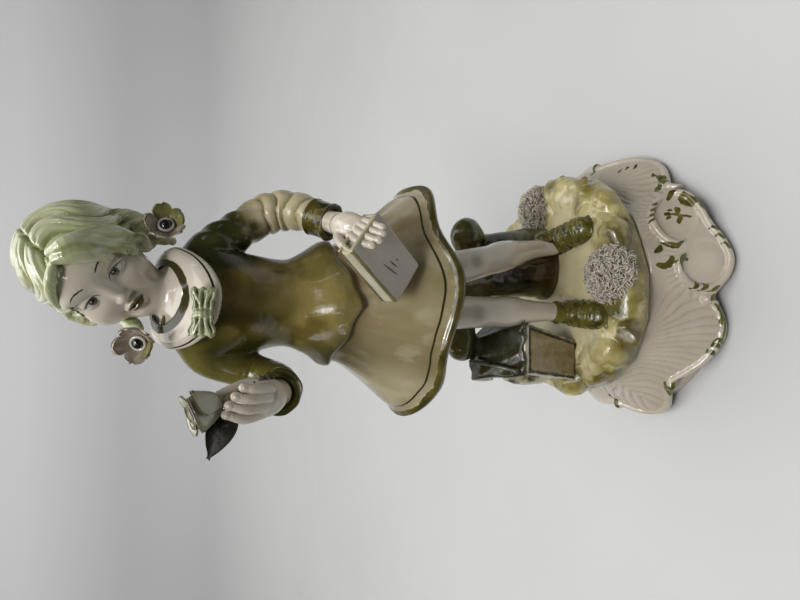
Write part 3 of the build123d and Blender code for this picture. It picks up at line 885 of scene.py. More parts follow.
def flap(p):
    shoulder = SATCHEL_SHOULDER
    folds = 0.45 * np.sin(p[0] * 0.55 + p[1] * 0.35 + p[2] * 0.10) * ramp(p[0], -36, -46)
    body = walls(p, [
        ((-51.6, -20, shoulder), (-0.97, -0.2, 0.1)), ((-22.6, 0, shoulder), (0.82, 0, 0.58)),
        ((0, -20.4, shoulder), (0, -0.53, 0.85)), ((0, -20.4, shoulder), (0, -1, 0.05)),
        ((0, 14.0, shoulder), (0, 1, 0.06)), ((0, 0, shoulder + 17.6), (-0.06, 0, 1)),
    ], 1.8)
    corner = tube(p, [
        (-27, -17.6, shoulder + 1, 2.2), (-23.4, -19.8, shoulder, 1.6), (-20.8, -21, shoulder - 1, 0.8),
    ], 3)
    crest = tube(p, [row + (1.1,) for row in FLAP_CREST], 4)
    body = join(join(body - folds, crest, 2.2), corner, 1.6)
    return both(body * 0.94, -(p[2] - flap_hem(p)), 0.7)


def build_satchel():
    points, faces = sculpt(satchel, SATCHEL_LOW - 10, SATCHEL_HIGH + 10, 0.5)
    p = points.T
    panel = np.maximum(np.abs(satchel_across(p)) - 9.3, np.abs(p[2] - SATCHEL_FOOT - 20) - 16.8)
    front = np.where(p[1] < -15.0, 0.0, 6.0)
    blots = np.full(p.shape[1], 30.0, np.float32)
    for y, z, size in ((-12, 82, 2.8), (-13.5, 76, 1.8), (-10, 88, 1.8), (-4, 90, 2.2), (2, 85, 1.9),
        (6, 92, 1.4)):
        blots = np.minimum(blots, np.hypot(p[1] - y, (p[2] - z) * 0.7) - size)
    blots = blots + ramp(satchel_across(p), -9, -6) * 20
    return points, faces, {"panel": panel + front, "outline": np.abs(panel) + front, "blots": blots,
        "height": p[2]}


def satchel_glaze():
    side = Glaze("satchel_glaze", tint(172, 164, 130), tint(208, 202, 178), 60)
    side.paint("height", 60, 54, tint(110, 104, 56), tint(150, 142, 96), fray=3, grain=160, top=0.6)
    side.paint("blots", 1.0, -0.8, tint(30, 28, 14), tint(70, 62, 30), fray=0.9, grain=300)
    side.paint("panel", 0.3, -0.4, tint(116, 98, 62), tint(158, 140, 100), fray=0.3, grain=220,
        stretch=(1, 1, 0.25))
    side.paint("outline", 1.1, 0.5, tint(22, 18, 6), tint(48, 40, 16), fray=0.35, grain=260)
    return side.fired(rough=(0.16, 0.34), bump=0.00025, grain=170, coat=0.35)


def build_flap():
    low, high = node_box("satchel_flap")
    points, faces = sculpt(flap, low - 9, high + 9, 0.5)
    p = points.T
    # distance from the draped crest, along which a highlight is painted
    _, crest = along_tube(p, FLAP_CREST, 3)
    return points, faces, {"edge": p[2] - flap_hem(p), "crest": crest}


def flap_glaze():
    cover = Glaze("flap_glaze", tint(44, 40, 18), tint(78, 74, 50), 46)
    cover.cloud(tint(96, 98, 90), 0.62, 0.9, 60, 0.6)
    cover.cloud(tint(44, 38, 12), 0.6, 0.8, 90, 0.6)
    # lighter along the draped crest: painted highlight
    cover.paint("crest", 1.7, 1.1, tint(132, 130, 110), fray=0.5, grain=200, top=0.55)
    cover.paint("edge", 1.0, 0.4, tint(136, 126, 96), tint(90, 82, 52), fray=0.4, grain=240, top=0.75)
    return cover.fired(rough=(0.16, 0.36), bump=0.00025, grain=150, coat=0.1, shine=0.4)


# ---------------------------------------------------------------- legs and shoes
def right_leg(p):
    leg = tube(p, [
        (-17.5, -15.5, 64, 5.4), (-17.2, -14.4, 72, 5.2), (-17, -14.2, 80, 5.6), (-17, -13.8, 92, 7.1),
        (-17, -13.8, 102, 8.2), (-17, -14.2, 112, 8.0), (-17, -14.6, 120, 8.3), (-17, -13, 136, 8.9),
        (-18, -8, 188, 9.8),
    ], 5)
    calf = ellipsoid(p, (-16.6, -11.4, 101), (6.9, 6.4, 15))
    knee = ellipsoid(p, (-17.2, -18.4, 121), (5.0, 4.2, 6))
    return both(join(join(leg, calf, 3), knee, 3), p[2] - 176, 1)


def left_leg(p):
    leg = tube(p, [
        (21, -5.6, 64, 5.4), (19.4, -4.6, 72, 5.2), (18, -5.4, 80, 5.6), (15.4, -7, 92, 7.2),
        (13, -9.2, 102, 8.3), (10.8, -11.2, 112, 8.0), (9.2, -12.2, 120, 8.3), (6, -11.6, 136, 8.9),
        (-1, -8, 188, 9.8),
    ], 5)
    calf = ellipsoid(p, (14.2, -7, 101), (6.9, 6.4, 15), turn(y=-12))
    knee = ellipsoid(p, (8.6, -16.4, 121), (5.0, 4.2, 6))
    return both(join(join(leg, calf, 3), knee, 3), p[2] - 176, 1)


def build_right_leg():
    points, faces = sculpt(right_leg, (-33, -30, 54), (-3, 8, 180), 0.6)
    return points, faces, {"height": points[:, 2]}


def build_left_leg():
    points, faces = sculpt(left_leg, (-16, -28, 54), (32, 8, 180), 0.6)
    return points, faces, {"height": points[:, 2]}


def skin_glaze():
    skin = Glaze("skin_glaze", tint(206, 195, 176), tint(218, 208, 190), 26)
    return skin.fired(rough=(0.10, 0.18), bump=0.00008, grain=60, coat=0.6)


def shoe(q):
    """A low shoe in its own frame: x across, y from the heel (0) to the toe (36), z above the sole."""
    x, y, z = q
    sole = slab(q, (0, 18, 1.2), (6.6, 17.6, 1.6), None, 1.5)
    heel = ellipsoid(q, (0, 8, 5), (6.3, 8.4, 9.5))
    arch = ellipsoid(q, (0, 17, 4.2), (6.4, 13, 8.0))
    toe = ellipsoid(q, (0, 26.0, 2.8), (7.8, 10.2, 6.8))
    body = join(join(heel, arch, 3), join(toe, sole, 1.5), 2.5)
    body = join(body, tube(q, [(0, 8, 8, 6.0), (0, 8, 13.6, 6.1)], 2), 1.5)
    on_top = ramp(z, 2.0, 4.0)
    for row in range(4):
        forward, top = 13.0 + 4.4 * row, 12.4 - 0.9 * row
        strap = [(-7.2, forward - 1, 3, 1.0), (-5.2, forward, top - 2.6, 1.3), (0, forward + 0.6, top, 1.5)]
        strap = strap + [(-side, *rest) for side, *rest in strap[-2::-1]]
        body = join(body, tube(q, strap, 4), 0.3)
    seam = 0.4 * np.exp(-(((y - 31.0 + 0.05 * x * x) / 0.5) ** 2)) * on_top
    body = join(body + seam, torus(q, (0, 8, 13.8), 5.7, 0.9), 0.8)
    groove = 0.5 * np.exp(-(((z - 2.9) / 0.45) ** 2))
    return both(body + groove, -z - 0.4, 0.3)


SHOE_FRAMES = {
    "right_shoe": (node_middle("right_shoe") + np.array([1.5, 17.0, -7.2]), turn(z=180 - 4.5)),
    "left_shoe": (node_middle("left_shoe") + np.array([-4.9, 16.0, -7.2]), turn(z=180 + 16)),
}


def build_shoe(name):
    at, axes = SHOE_FRAMES[name]
    low, high = node_box(name)
    points, faces = sculpt(lambda p: shoe(local(p, at, axes)), low - 8, high + 12, 0.42)
    q = local(points.T.astype(np.float32), at, axes)
    return points, faces, {"height": q[2]}


def shoe_glaze():
    leather = Glaze("shoe_glaze", tint(56, 54, 12), tint(112, 106, 40), 170)
    leather.cloud(tint(148, 140, 84), 0.66, 0.92, 230, 0.7)
    leather.paint("height", 3.2, 2.2, tint(48, 46, 12), top=0.5)
    return leather.fired(rough=(0.10, 0.24), bump=0.00025, grain=260, coat=0.5)


# ---------------------------------------------------------------- skirt
SKIRT_LOW, SKIRT_HIGH = node_box("skirt")
SKIRT_AT = ((SKIRT_LOW + SKIRT_HIGH) / 2)[:2] + np.array([-1.25, 0.25])
SKIRT_TALL = SKIRT_HIGH[2] - SKIRT_LOW[2]
# share of the way up, half-width across, half-depth
SKIRT_RISE = curve([
    (0, 57, 46), (0.1, 53.5, 43.4), (0.25, 49.5, 40.5), (0.55, 39, 33), (0.82, 30, 26), (1.0, 27.5, 24),
])
# the soft lobes of the hem: angle, height above the skirt's foot, stretch of the plain oval
SKIRT_HEM = [
    (4, 7.2, 1.02), (35, 1.0, 1.06), (70, 7.0, 0.97), (105, 0.5, 1.05), (140, 6.0, 0.98), (176, 8.8, 1.02),
    (213, 1.2, 0.93), (243, 4.6, 0.97), (283, -0.8, 1.03), (314, 6.9, 1.00), (344, 2.0, 1.06),
    (364, 7.2, 1.02),
]


def skirt_lobes(angle):
    """Rise and stretch of the hem at angles in radians."""
    rows = curve([(SKIRT_HEM[-2][0] - 360,) + SKIRT_HEM[-2][1:]] + SKIRT_HEM + [(395, 1.0, 1.06)], 6)
    way = (np.degrees(angle) - 4) % 360 + 4
    return np.interp(way, rows[:, 0], rows[:, 1]), np.interp(way, rows[:, 0], rows[:, 2])


def skirt_shell(inset, angles, heights):
    """Rings of the skirt, this far inside its skin, from the hem (0) to the waist (1)."""
    angle, height = np.meshgrid(angles, heights)
    rise, stretch = skirt_lobes(angle)
    rx = np.interp(height, SKIRT_RISE[:, 0], SKIRT_RISE[:, 1]) - inset
    ry = np.interp(height, SKIRT_RISE[:, 0], SKIRT_RISE[:, 2]) - inset
    reach = (1 + (stretch - 1) * (1 - height) ** 1.3) / np.hypot(np.cos(angle) / rx, np.sin(angle) / ry)
    if inset < 1:
        pleat = 0.7 * np.cos(19 * angle + 2 * np.sin(3 * angle)) * np.clip(height * 2, 0, 1) * (1.1 - height)
        cord = np.sqrt(np.clip(1 - ((height * SKIRT_TALL - 1.4) / 1.7) ** 2, 0, 1))
        reach = reach + pleat + 1.0 * cord
    level = SKIRT_LOW[2] + height * SKIRT_TALL + rise * (1 - height) ** 2
    return np.stack([SKIRT_AT[0] + reach * np.cos(angle), SKIRT_AT[1] + reach * np.sin(angle), level], 2)


def build_skirt():
    fine = 1
    angles = np.linspace(0, 2 * math.pi, 640 // fine, endpoint=False)
    heights = np.linspace(0, 1, 96 // fine)
    outer = skirt_shell(0.0, angles, heights)
    lip = [
        skirt_shell(inset, angles, np.array([0.0])) - np.array([0, 0, drop])
        for inset, drop in ((0.2, 0.9), (1.4, 1.3), (2.8, 1.0))
    ]
    inner = skirt_shell(3.6, angles, np.linspace(0, 0.9, 24))
    rings = np.concatenate([outer[::-1]] + lip + [inner])
    points = rings.reshape(-1, 3)
    faces = grid_faces(len(rings), len(angles), False, True)
    count = len(points)
    middles = np.array([[*SKIRT_AT, SKIRT_HIGH[2]], [*SKIRT_AT, inner[-1, :, 2].mean()]])
    turns = np.arange(len(angles))
    following = (turns + 1) % len(angles)
    top = np.stack([np.full(len(angles), count), following, turns], 1)
    last = count - len(angles)
    under = np.stack([np.full(len(angles), count + 1), last + turns, last + following], 1)
    points = np.concatenate([points, middles])
    gap = np.concatenate([
        np.repeat((heights[::-1] * SKIRT_TALL)[:, None], len(angles), 1).ravel(),
        np.zeros(3 * len(angles)), np.full(24 * len(angles), 30.0), [50.0, 50.0],
    ])
    rise = np.concatenate([np.tile(skirt_lobes(angles)[0], len(rings)), [0, 0]])
    # front is highest where the skirt faces forward; the glaze paints shade there
    front = np.concatenate([np.tile(-np.sin(angles + 0.35), len(rings)), [0, 0]])
    # valley is high in the hollows of the hem's folds, where the glaze paints shade
    values = {"hem": gap, "valley": (rise - 3) / 5 * np.exp(-gap / 40), "front": front,
        "height": points[:, 2]}
    return points, [faces, top, under], values


def skirt_glaze():
    cloth = Glaze("skirt_glaze", tint(164, 152, 116), tint(198, 188, 156), 34)
    cloth.cloud(tint(150, 128, 84), 0.5, 0.95, 60, 0.6, (1, 1, 0.22))
    along = (1, 1, 0.4)
    # darker brown over her front: painted shade
    cloth.paint("front", 0.35, 0.95, tint(124, 110, 68), tint(160, 146, 104), 0.25, 50, 0.8, along)
    cloth.cloud(tint(200, 190, 158), 0.66, 0.9, 80, 0.4, (1, 1, 0.25))
    # dark brown just below the jacket's hem: painted shade under the jacket
    cloth.paint("height", 184, 197, tint(96, 72, 34), tint(142, 120, 76), 7, 60, 0.7, along)
    # darker in the hollows of the hem's folds: painted shade
    cloth.paint("valley", 0.2, 1.0, tint(120, 104, 62), top=0.5)
    cloth.paint("hem", 3.3, 2.9, tint(58, 54, 18), tint(94, 84, 34), fray=0.5, grain=200)
    line = cloth.sum(-7.2, cloth.value("hem"))
    share = cloth.spread(cloth.absolute(line), 0.75, 0.35)
    cloth.colour = cloth.blend(share, cloth.colour, tint(58, 50, 20))
    return cloth.fired(rough=(0.08, 0.2), bump=0.00015, grain=110, coat=0.6)




# ---------------------------------------------------------------- jacket and sleeves
JACKET_LOW, JACKET_HIGH = node_box("jacket")
JACKET_AT = ((JACKET_LOW + JACKET_HIGH) / 2)[:2]
JACKET_RISE = curve([
    (186, 35.6, 35.4), (193, 33.4, 32.4), (199, 31.0, 29.4), (205, 29.2, 25.6), (212, 24.2, 20.6),
    (219, 21.0, 17.4), (226, 20.8, 17.2),
    (235, 22.4, 18.4), (245, 24.6, 19.8), (254, 26.4, 19.0), (261, 26.0, 16.5), (267, 20, 12.8),
    (272, 12, 9.8), (276, 9, 9),
])
RIGHT_SLEEVE = [
    (-29, 0, 262, 8.0), (-35.4, 0, 255.5, 9.3), (-39.6, -2.4, 246, 8.9), (-43.2, -6.5, 236, 8.5),
    (-45.8, -13, 229.6, 8.6),
    (-47, -24, 228, 8.0), (-48, -36, 231, 7.6),
]
LEFT_SLEEVE = [
    (6, 0, 261, 8.0), (11.6, 0, 255.5, 9.2), (17, 0.6, 248.5, 9.0), (23, 1.6, 239.5, 8.9),
    (28.4, 2, 232, 9.2),
    (31.4, 1.2, 225, 9.4), (32.2, -1.4, 219, 9.2), (30.8, -7, 213.2, 8.4), (28.4, -12, 208.6, 7.6),
]


def torso(p):
    rx = np.interp(p[2], JACKET_RISE[:, 0], JACKET_RISE[:, 1])
    ry = np.interp(p[2], JACKET_RISE[:, 0], JACKET_RISE[:, 2])
    x, y = p[0] - JACKET_AT[0], p[1] - JACKET_AT[1]
    reach = np.hypot(x / rx, y / ry)
    away = np.hypot(x, y)
    body = (away - away / np.maximum(reach, 1e-3)) * 0.88
    dip = 6.6 * np.exp(-((x + 1) / 15) ** 2) * ramp(y, 4, -10)
    hem = JACKET_LOW[2] + 1.5 + 0.6 * np.cos(np.arctan2(y, x) * 3 + 1.2) - dip
    body = both(body, hem - p[2], 2.2)
    return both(body, p[2] - 275, 1.0)


def jacket(p):
    body = torso(p)
    bust = bump(p, (-20.5, -16, 243), (9, 7, 10), 1.6) + bump(p, (-4, -16, 242), (9, 7, 10), 1.6)
    dents = bump(p, (-26, -17, 214), (4, 8, 9), 0.9) + bump(p, (3, -17, 212), (4, 8, 9), 1.0)
    tucks = 0.45 * np.sin(p[0] * 0.42 + 0.1 * p[2]) * ramp(p[2], 224, 208)
    body = body - bust + dents - tucks + 0.22 * waves(p, 13, 31)
    share, _ = along_tube(p, LEFT_SLEEVE, 3)
    rings = np.abs(np.sin(share * 27 + 0.5 * np.sin(p[0] * 0.35 + p[1] * 0.2))) ** 0.7 - 0.55
    creases = np.sin(share * 30 + p[1] * 0.35 + p[0] * 0.3) * ramp(share, 0.6, 0.4) * ramp(share, 0.08, 0.2)
    left = tube(p, LEFT_SLEEVE, 5) - 1.25 * rings * ramp(share, 0.48, 0.6) * ramp(share, 1.0,
        0.95) - 0.45 * creases
    share_r, _ = along_tube(p, RIGHT_SLEEVE, 3)
    folds = np.sin(share_r * 34 + p[2] * 0.25 + p[1] * 0.3) * np.exp(-((share_r - 0.5) / 0.22) ** 2)
    right = tube(p, RIGHT_SLEEVE, 5) - 0.55 * folds
    body = join(body, left, 2.6)
    body = join(body, right, 2.6)
    neck_hole = tube(p, [(-11.5, -3, 262, 9.0), (-9, -4, 280, 9.0)], 1)
    return cut(body, neck_hole, 0.8)


def build_jacket():
    low = node_box("right_sleeve")[0]
    high = node_box("left_sleeve")[1]
    bottom = node_box("jacket")[0][2]
    points, faces = sculpt(jacket, (low[0] - 10, -54, bottom - 12), (high[0] + 12, 36, 286), 0.55)
    p = points.T
    share, away = along_tube(p, LEFT_SLEEVE, 3)
    near = ramp(away, 14, 11)
    rings = 1 - np.abs(np.sin(share * 27 + 0.5 * np.sin(p[0] * 0.35 + p[1] * 0.2)))
    values = {
        "rise": p[2], "across": p[0], "front": p[1], "cream": share * near,
        "ring": rings * near * ramp(share, 0.48, 0.55),
        # both armpits, where the glaze paints shade
        "armpit_shade": np.minimum(np.hypot(p[0] + 33, (p[2] - 247) * 0.6), np.hypot(p[0] - 10, (p[2] - 245) * 0.6)),
    }
    return points, faces, values


def jacket_glaze():
    olive = Glaze("jacket_glaze", tint(72, 64, 12), tint(108, 98, 34), 44)
    olive.paint("rise", 240, 214, tint(122, 106, 48), tint(164, 146, 88), fray=24, grain=34)
    olive.cloud(tint(84, 72, 20), 0.58, 0.85, 55, 0.6)
    olive.cloud(tint(160, 146, 92), 0.6, 0.9, 70, 0.5)
    olive.paint("rise", 236, 262, tint(58, 52, 10), tint(104, 94, 34), fray=20, grain=46, top=0.75)
    olive.paint("across", 2, 10, tint(46, 50, 22), tint(74, 76, 36), fray=5, grain=50, top=0.7)
    olive.paint("across", -26, -36, tint(74, 72, 30), tint(112, 106, 58), fray=5, grain=60, top=0.6)
    # very dark in both armpits: painted shade where the sleeves meet the body
    olive.paint("armpit_shade", 9, 2, tint(28, 28, 8), tint(48, 46, 14), fray=3, grain=80, top=0.85)
    olive.paint("rise", 205, 200, tint(58, 58, 30), tint(118, 108, 70), fray=3, grain=90, top=0.6)
    olive.paint("cream", 0.40, 0.60, tint(184, 172, 130), tint(212, 202, 168), fray=0.10, grain=120)
    olive.paint("ring", 0.55, 1.0, tint(104, 92, 50), tint(150, 136, 92), fray=0.2, grain=200, top=0.7)
    return olive.fired(rough=(0.12, 0.28), bump=0.0002, grain=120, coat=0.3, shine=0.4)


# ---------------------------------------------------------------- collar and bow
COLLAR_OUTER = [
    (-8.6, -27.6, 253.2), (-20, -25.4, 255.4), (-28.6, -18.5, 262.5), (-31.2, -8, 271), (-26, 4, 275),
    (-12, 12, 276),
    (2, 8, 274.5), (10, 0, 271), (11.6, -10, 267), (7, -20, 260), (0, -25.6, 255.2), (-8.6, -27.6, 253.2),
]
COLLAR_INNER = [
    (-9.4, -17.6, 267.4), (-15.6, -16.4, 269.4), (-19.8, -12.8, 272.6), (-21.2, -8, 275.6), (-19, 2, 277.4),
    (-12, 6.8, 278),
    (-4, 5, 277), (1.6, 0, 276), (4.0, -6, 274), (2.6, -12.4, 271), (-3, -16.6, 268.2), (-9.4, -17.6, 267.4),
]


def closed_curve(rows, count):
    """Evenly counted points on a smooth closed loop; the first row repeats at the end."""
    rows = np.asarray(rows, float)
    padded = np.vstack([rows[-2], rows, rows[1]])
    line = curve(padded, 24)[24:-24]
    return line[np.linspace(0, len(line) - 1, count + 1)[:-1].astype(int)]


def build_collar():
    count = 360
    outer, inner = closed_curve(COLLAR_OUTER, count), closed_curve(COLLAR_INNER, count)
    run = np.linspace(0, 1, 40)
    lift = np.sin(run ** 1.4 * math.pi) ** 0.8
    out_way = outer - inner
    out_way /= np.linalg.norm(out_way, axis=1, keepdims=True)
    around = np.roll(outer, -1, 0) - np.roll(outer, 1, 0)
    up = np.cross(around, out_way)
    up /= np.linalg.norm(up, axis=1, keepdims=True)
    up *= np.sign((up * (outer - np.array([-10, -4, 258]))).sum(1, keepdims=True) + 1e-9)
    rings = [inner + (outer - inner) * t + up * (2.3 * h + 0.9) for t, h in zip(run, lift)]
    under = [inner + (outer - inner) * t + up * (2.3 * h - 0.9) * 0.8 for t, h in zip(run[::-1], lift)]
    rings = np.array(rings + under)
    points = rings.reshape(-1, 3)
    across = np.repeat(np.concatenate([run, run[::-1]]), count)
    faces = grid_faces(len(rings), count, True, True)
    return points, faces, {"across": across}


def collar_glaze():
    white = Glaze("collar_glaze", tint(212, 203, 186), tint(224, 216, 200), 50)
    white.paint("across", 0.28, 0.25, tint(44, 42, 18), tint(66, 60, 28), fray=0.03, grain=160)
    edge = white.absolute(white.sum(-0.885, white.value("across")))
    white.colour = white.blend(white.spread(edge, 0.034, 0.022), white.colour, tint(50, 46, 20))
    return white.fired(rough=(0.10, 0.2), bump=0.0001, grain=80, coat=0.25, shine=0.4)


BOW_AXES = facing((-0.05, -0.94, 0.33))


def bow(p):
    q = local(p, (-15.4, -31.0, 260.6), BOW_AXES)
    x, y, z = q
    side = np.abs(x)
    flare = 3.3 + 0.2 * side + 0.35 * np.sin(side * 1.1)
    pleats = 0.75 * np.sin(y * 2.6 / np.maximum(flare / 4.4, 0.5)) * ramp(side, 1.2, 3) * ramp(side, 9.6, 7)
    loop = np.maximum(np.abs(y + 0.06 * x) - flare, np.abs(side - 5.0) - 4.7 - 0.5 * np.cos(y * 1.9))
    thick = np.abs(z - 0.4 - 0.14 * side + 0.012 * side * side) - 1.7 + 0.08 * side
    body = both(loop, thick - pleats, 1.1) - 0.25
    fold = tube(q, [(1.4, 0, 1.8, 0.5), (5, 1.2, 2.6, 0.8), (8.6, 3.0, 2.4, 0.5)], 3)
    fold = np.minimum(fold, tube(q, [(-1.4, 0, 1.8, 0.5), (-5, 1.4, 2.6, 0.8), (-8.6, 3.0, 2.4, 0.5)], 3))
    fold = np.minimum(fold, tube(q, [(1.4, -0.6, 1.8, 0.5), (5, -2, 2.4, 0.8), (8.4, -3.8, 2.2, 0.5)], 3))
    fold = np.minimum(fold,
        tube(q, [(-1.4, -0.6, 1.8, 0.5), (-5, -1.8, 2.4, 0.8), (-8.4, -3.4, 2.2, 0.5)], 3))
    body = join(body, fold, 0.9)
    knot = ellipsoid(q, (0, 0, 1.6), (2.1, 3.3, 2.4)) - 0.16 * np.sin(x * 3.2)
    return join(body, knot, 0.5)


def build_bow():
    at = (node_middle("bow_right_loop") + node_middle("bow_left_loop")) / 2
    points, faces = sculpt(bow, at - (16, 14, 14), at + (16, 14, 14), 0.28)
    q = local(points.T.astype(np.float32), (-15.4, -31.0, 260.6), BOW_AXES)
    side = np.abs(q[0])
    # pleat is high on the ridges and low in the hollows; the glaze paints highlight and shade from it
    pleats = np.sin(q[1] * 2.6 / np.maximum((3.3 + 0.2 * side) / 4.4, 0.5))
    return points, faces, {"pleat": pleats}


def bow_glaze():
    ribbon = Glaze("bow_glaze", tint(150, 152, 116), tint(182, 184, 148), 200)
    # darker in the pleats' hollows: painted shade
    ribbon.paint("pleat", 0.2, -0.9, tint(122, 126, 82), fray=0.4, grain=300, top=0.7)
    # lighter on the pleats' ridges: painted highlight
    ribbon.paint("pleat", 0.5, 1.0, tint(196, 196, 158), top=0.6)
    return ribbon.fired(rough=(0.1, 0.2), bump=0.0001, grain=200, coat=0.7)


# ---------------------------------------------------------------- cuffs
def ring_cuff(p, start, end, radius, seed):
    way = unit(np.subtract(end, start))
    middle = (np.array(start) + np.array(end)) / 2
    half = np.linalg.norm(np.subtract(end, start)) / 2
    q = local(p, middle, facing(way, (0.3, 0.2, 1)))
    away = np.hypot(q[0], q[1])
    bead = 0.5 * np.exp(-(((q[2] + half - 1.1) / 0.8) ** 2))
    bead = bead + 0.55 * np.exp(-(((q[2] - half + 1.0) / 0.9) ** 2))
    wall = away - radius - bead - 0.2 * waves(p, 6, seed)
    body = both(wall, np.abs(q[2]) - half, 1.0)
    return cut(body, both(away - radius + 1.9, -q[2] + half - 2.5, 0.5), 0.6)


def build_right_cuff():
    def shape(p):
        return ring_cuff(p, (-47.9, -33.6, 230.0), (-48.3, -42.6, 233.4), 8.7, 41)
    low, high = node_box("right_cuff")
    points, faces = sculpt(shape, low - 8, high + 8, 0.4)
    return points, faces, {"height": points[:, 2]}


def build_left_cuff():
    def shape(p):
        return ring_cuff(p, (28.9, -10.8, 209.6), (25.0, -19.2, 202.4), 8.4, 42)
    low, high = node_box("left_cuff")
    points, faces = sculpt(shape, low - 8, high + 8, 0.4)
    return points, faces, {"height": points[:, 2]}


def cuff_glaze():
    band = Glaze("cuff_glaze", tint(48, 44, 10), tint(88, 80, 26), 130)
    band.cloud(tint(136, 130, 78), 0.6, 0.9, 170, 0.6)
    band.cloud(tint(36, 34, 10), 0.62, 0.85, 120, 0.6)
    return band.fired(rough=(0.14, 0.3), bump=0.00025, grain=200, coat=0.25, shine=0.4)


# ---------------------------------------------------------------- hands
def finger(p, knuckle, middle, tip, width=1.75):
    rows = [tuple(knuckle) + (width + 0.25,), tuple(middle) + (width + 0.05,), tuple(tip) + (width - 0.3,)]
    body = tube(p, rows, 4)
    way = unit(np.subtract(tip, middle))
    pad = ball(p, np.array(tip) - way * 0.2, width - 0.12)
    return join(body, pad, 0.6)


RIGHT_FINGERS = [
    ((-54.0, -51.6, 241.6), (-54.8, -54.8, 248.8), (-52.4, -55.6, 255.6)),
    ((-50.8, -53.4, 240.6), (-51.0, -56.6, 248.0), (-49.0, -56.6, 254.6)),
    ((-47.4, -54.0, 239.6), (-47.2, -57.2, 246.6), (-45.8, -57.2, 252.4)),
    ((-44.2, -53.0, 238.8), (-43.6, -56.6, 244.6), (-42.8, -56.8, 249.4)),
]
LEFT_FINGERS = [
    ((16.2, -47.4, 204.2), (13.0, -54.4, 203.0), (11.4, -59.4, 199.2)),
    ((18.2, -48.6, 201.8), (15.4, -55.6, 200.4), (13.4, -60.0, 196.4)),
    ((20.4, -48.4, 199.6), (18.0, -55.2, 198.0), (16.2, -59.4, 194.6)),
    ((22.6, -47.2, 198.0), (20.8, -53.8, 196.6), (19.0, -58.2, 194.2)),
]


def right_hand(p):
    palm = ellipsoid(p, (-48.6, -50.4, 240.4), (7.2, 4.6, 7.4), facing((0.06, -0.3, 0.95), (0.1, -1, 0)))
    heel = ellipsoid(p, (-48, -47.6, 236.4), (6.2, 5.0, 4.6))
    wrist = tube(p, [(-48, -36, 231, 5.4), (-48, -43, 233.6, 5.6), (-48.2, -48, 237, 5.2)], 3)
    body = join(join(palm, heel, 2.5), wrist, 2.5)
    for rows in RIGHT_FINGERS:
        body = join(body, finger(p, *rows, 1.9), 0.25)
    thumb = tube(p,
        [(-43.6, -46.4, 240, 3.0), (-42.8, -48, 247, 2.2), (-44.4, -49.6, 253, 1.9),
            (-45.8, -50.2, 257.2, 1.6)], 4)
    return join(body, thumb, 1.2) + nails(p, RIGHT_FINGERS, (0, -1, 0.25))


def nails(p, fingers, face):
    """A shallow ring pressed round each fingernail."""
    dents = np.zeros(p.shape[1], np.float32)
    for _, middle, tip in fingers:
        way = unit(np.subtract(tip, middle))
        out = unit(np.array(face) - way * np.dot(face, way))
        q = local(p, np.array(tip) - way * 0.5 + out * 1.3, facing(out, way))
        ring = np.abs(np.hypot(q[0] / 1.0, q[1] / 1.25) - 1.0)
        dents += 0.16 * np.exp(-(ring / 0.22) ** 2) * (np.abs(q[2]) < 1.2)
        joint = local(p, np.array(middle) * 0.45 + np.array(tip) * 0.55, facing(way))
        dents += 0.10 * np.exp(-(joint[2] / 0.3) ** 2) * (np.hypot(joint[0], joint[1]) < 3)
    return dents


def left_hand(p):
    back = ellipsoid(p, (20.6, -42, 202.2), (6.4, 8.6, 3.9), facing((-0.25, -0.55, 0.75), (-0.2, -1, -0.5)))
    wrist = tube(p,
        [(26.4, -16, 205, 5.0), (24.8, -24, 204.2, 5.1), (22.6, -33, 203.6, 5.3), (20.8, -40, 202.4, 5.4)], 4)
    body = join(back, wrist, 3.0)
    for rows in LEFT_FINGERS:
        body = join(body, finger(p, *rows, 1.7), 0.4)
    thumb = tube(p,
        [(19, -37, 205, 3.0), (15.4, -42, 207.4, 2.3), (12.4, -47, 207.6, 1.9), (10.6, -50.4, 206.2, 1.6)], 4)
    return join(body, thumb, 1.4) + nails(p, LEFT_FINGERS, (-0.1, -0.9, 0.6))


def build_right_hand():
    low, high = node_box("right_hand")
    points, faces = sculpt(right_hand, low - 10, high + 12, 0.3)
    return points, faces, {"height": points[:, 2]}


def build_left_hand():
    low, high = node_box("left_hand")
    points, faces = sculpt(left_hand, low - 10, high + 12, 0.3)
    return points, faces, {"height": points[:, 2]}


# ---------------------------------------------------------------- head
# The head has its own frame in mm: x to her left, y to the back, z to the crown.
HAIR_HIGH = node_box("hair")[1]
HEAD_MIDDLE = node_middle("head")
HEAD_AT = (HEAD_MIDDLE[0] + 0.3, HEAD_MIDDLE[1] - 1.0, HAIR_HIGH[2] - 27.6)
HEAD_AXES = turn(25, 27, -15)
NECK = [(-12, -2, 262, 9.8), (-10.4, -3.2, 268, 9.0), (-8, -4.4, 275, 8.6), (-4.4, -5.4, 284, 8.8),
    (-1, -4, 292, 9.2)]


def mirrored(q):
    return np.stack([np.abs(q[0]), q[1], q[2]])


def lid_lines(q):
    """Height of the upper and lower lid edges over one eye."""
    dx = np.abs(q[0]) - 7.6
    return -1.9 - 0.085 * dx * dx + 0.05 * dx, -5.3 + 0.09 * dx * dx


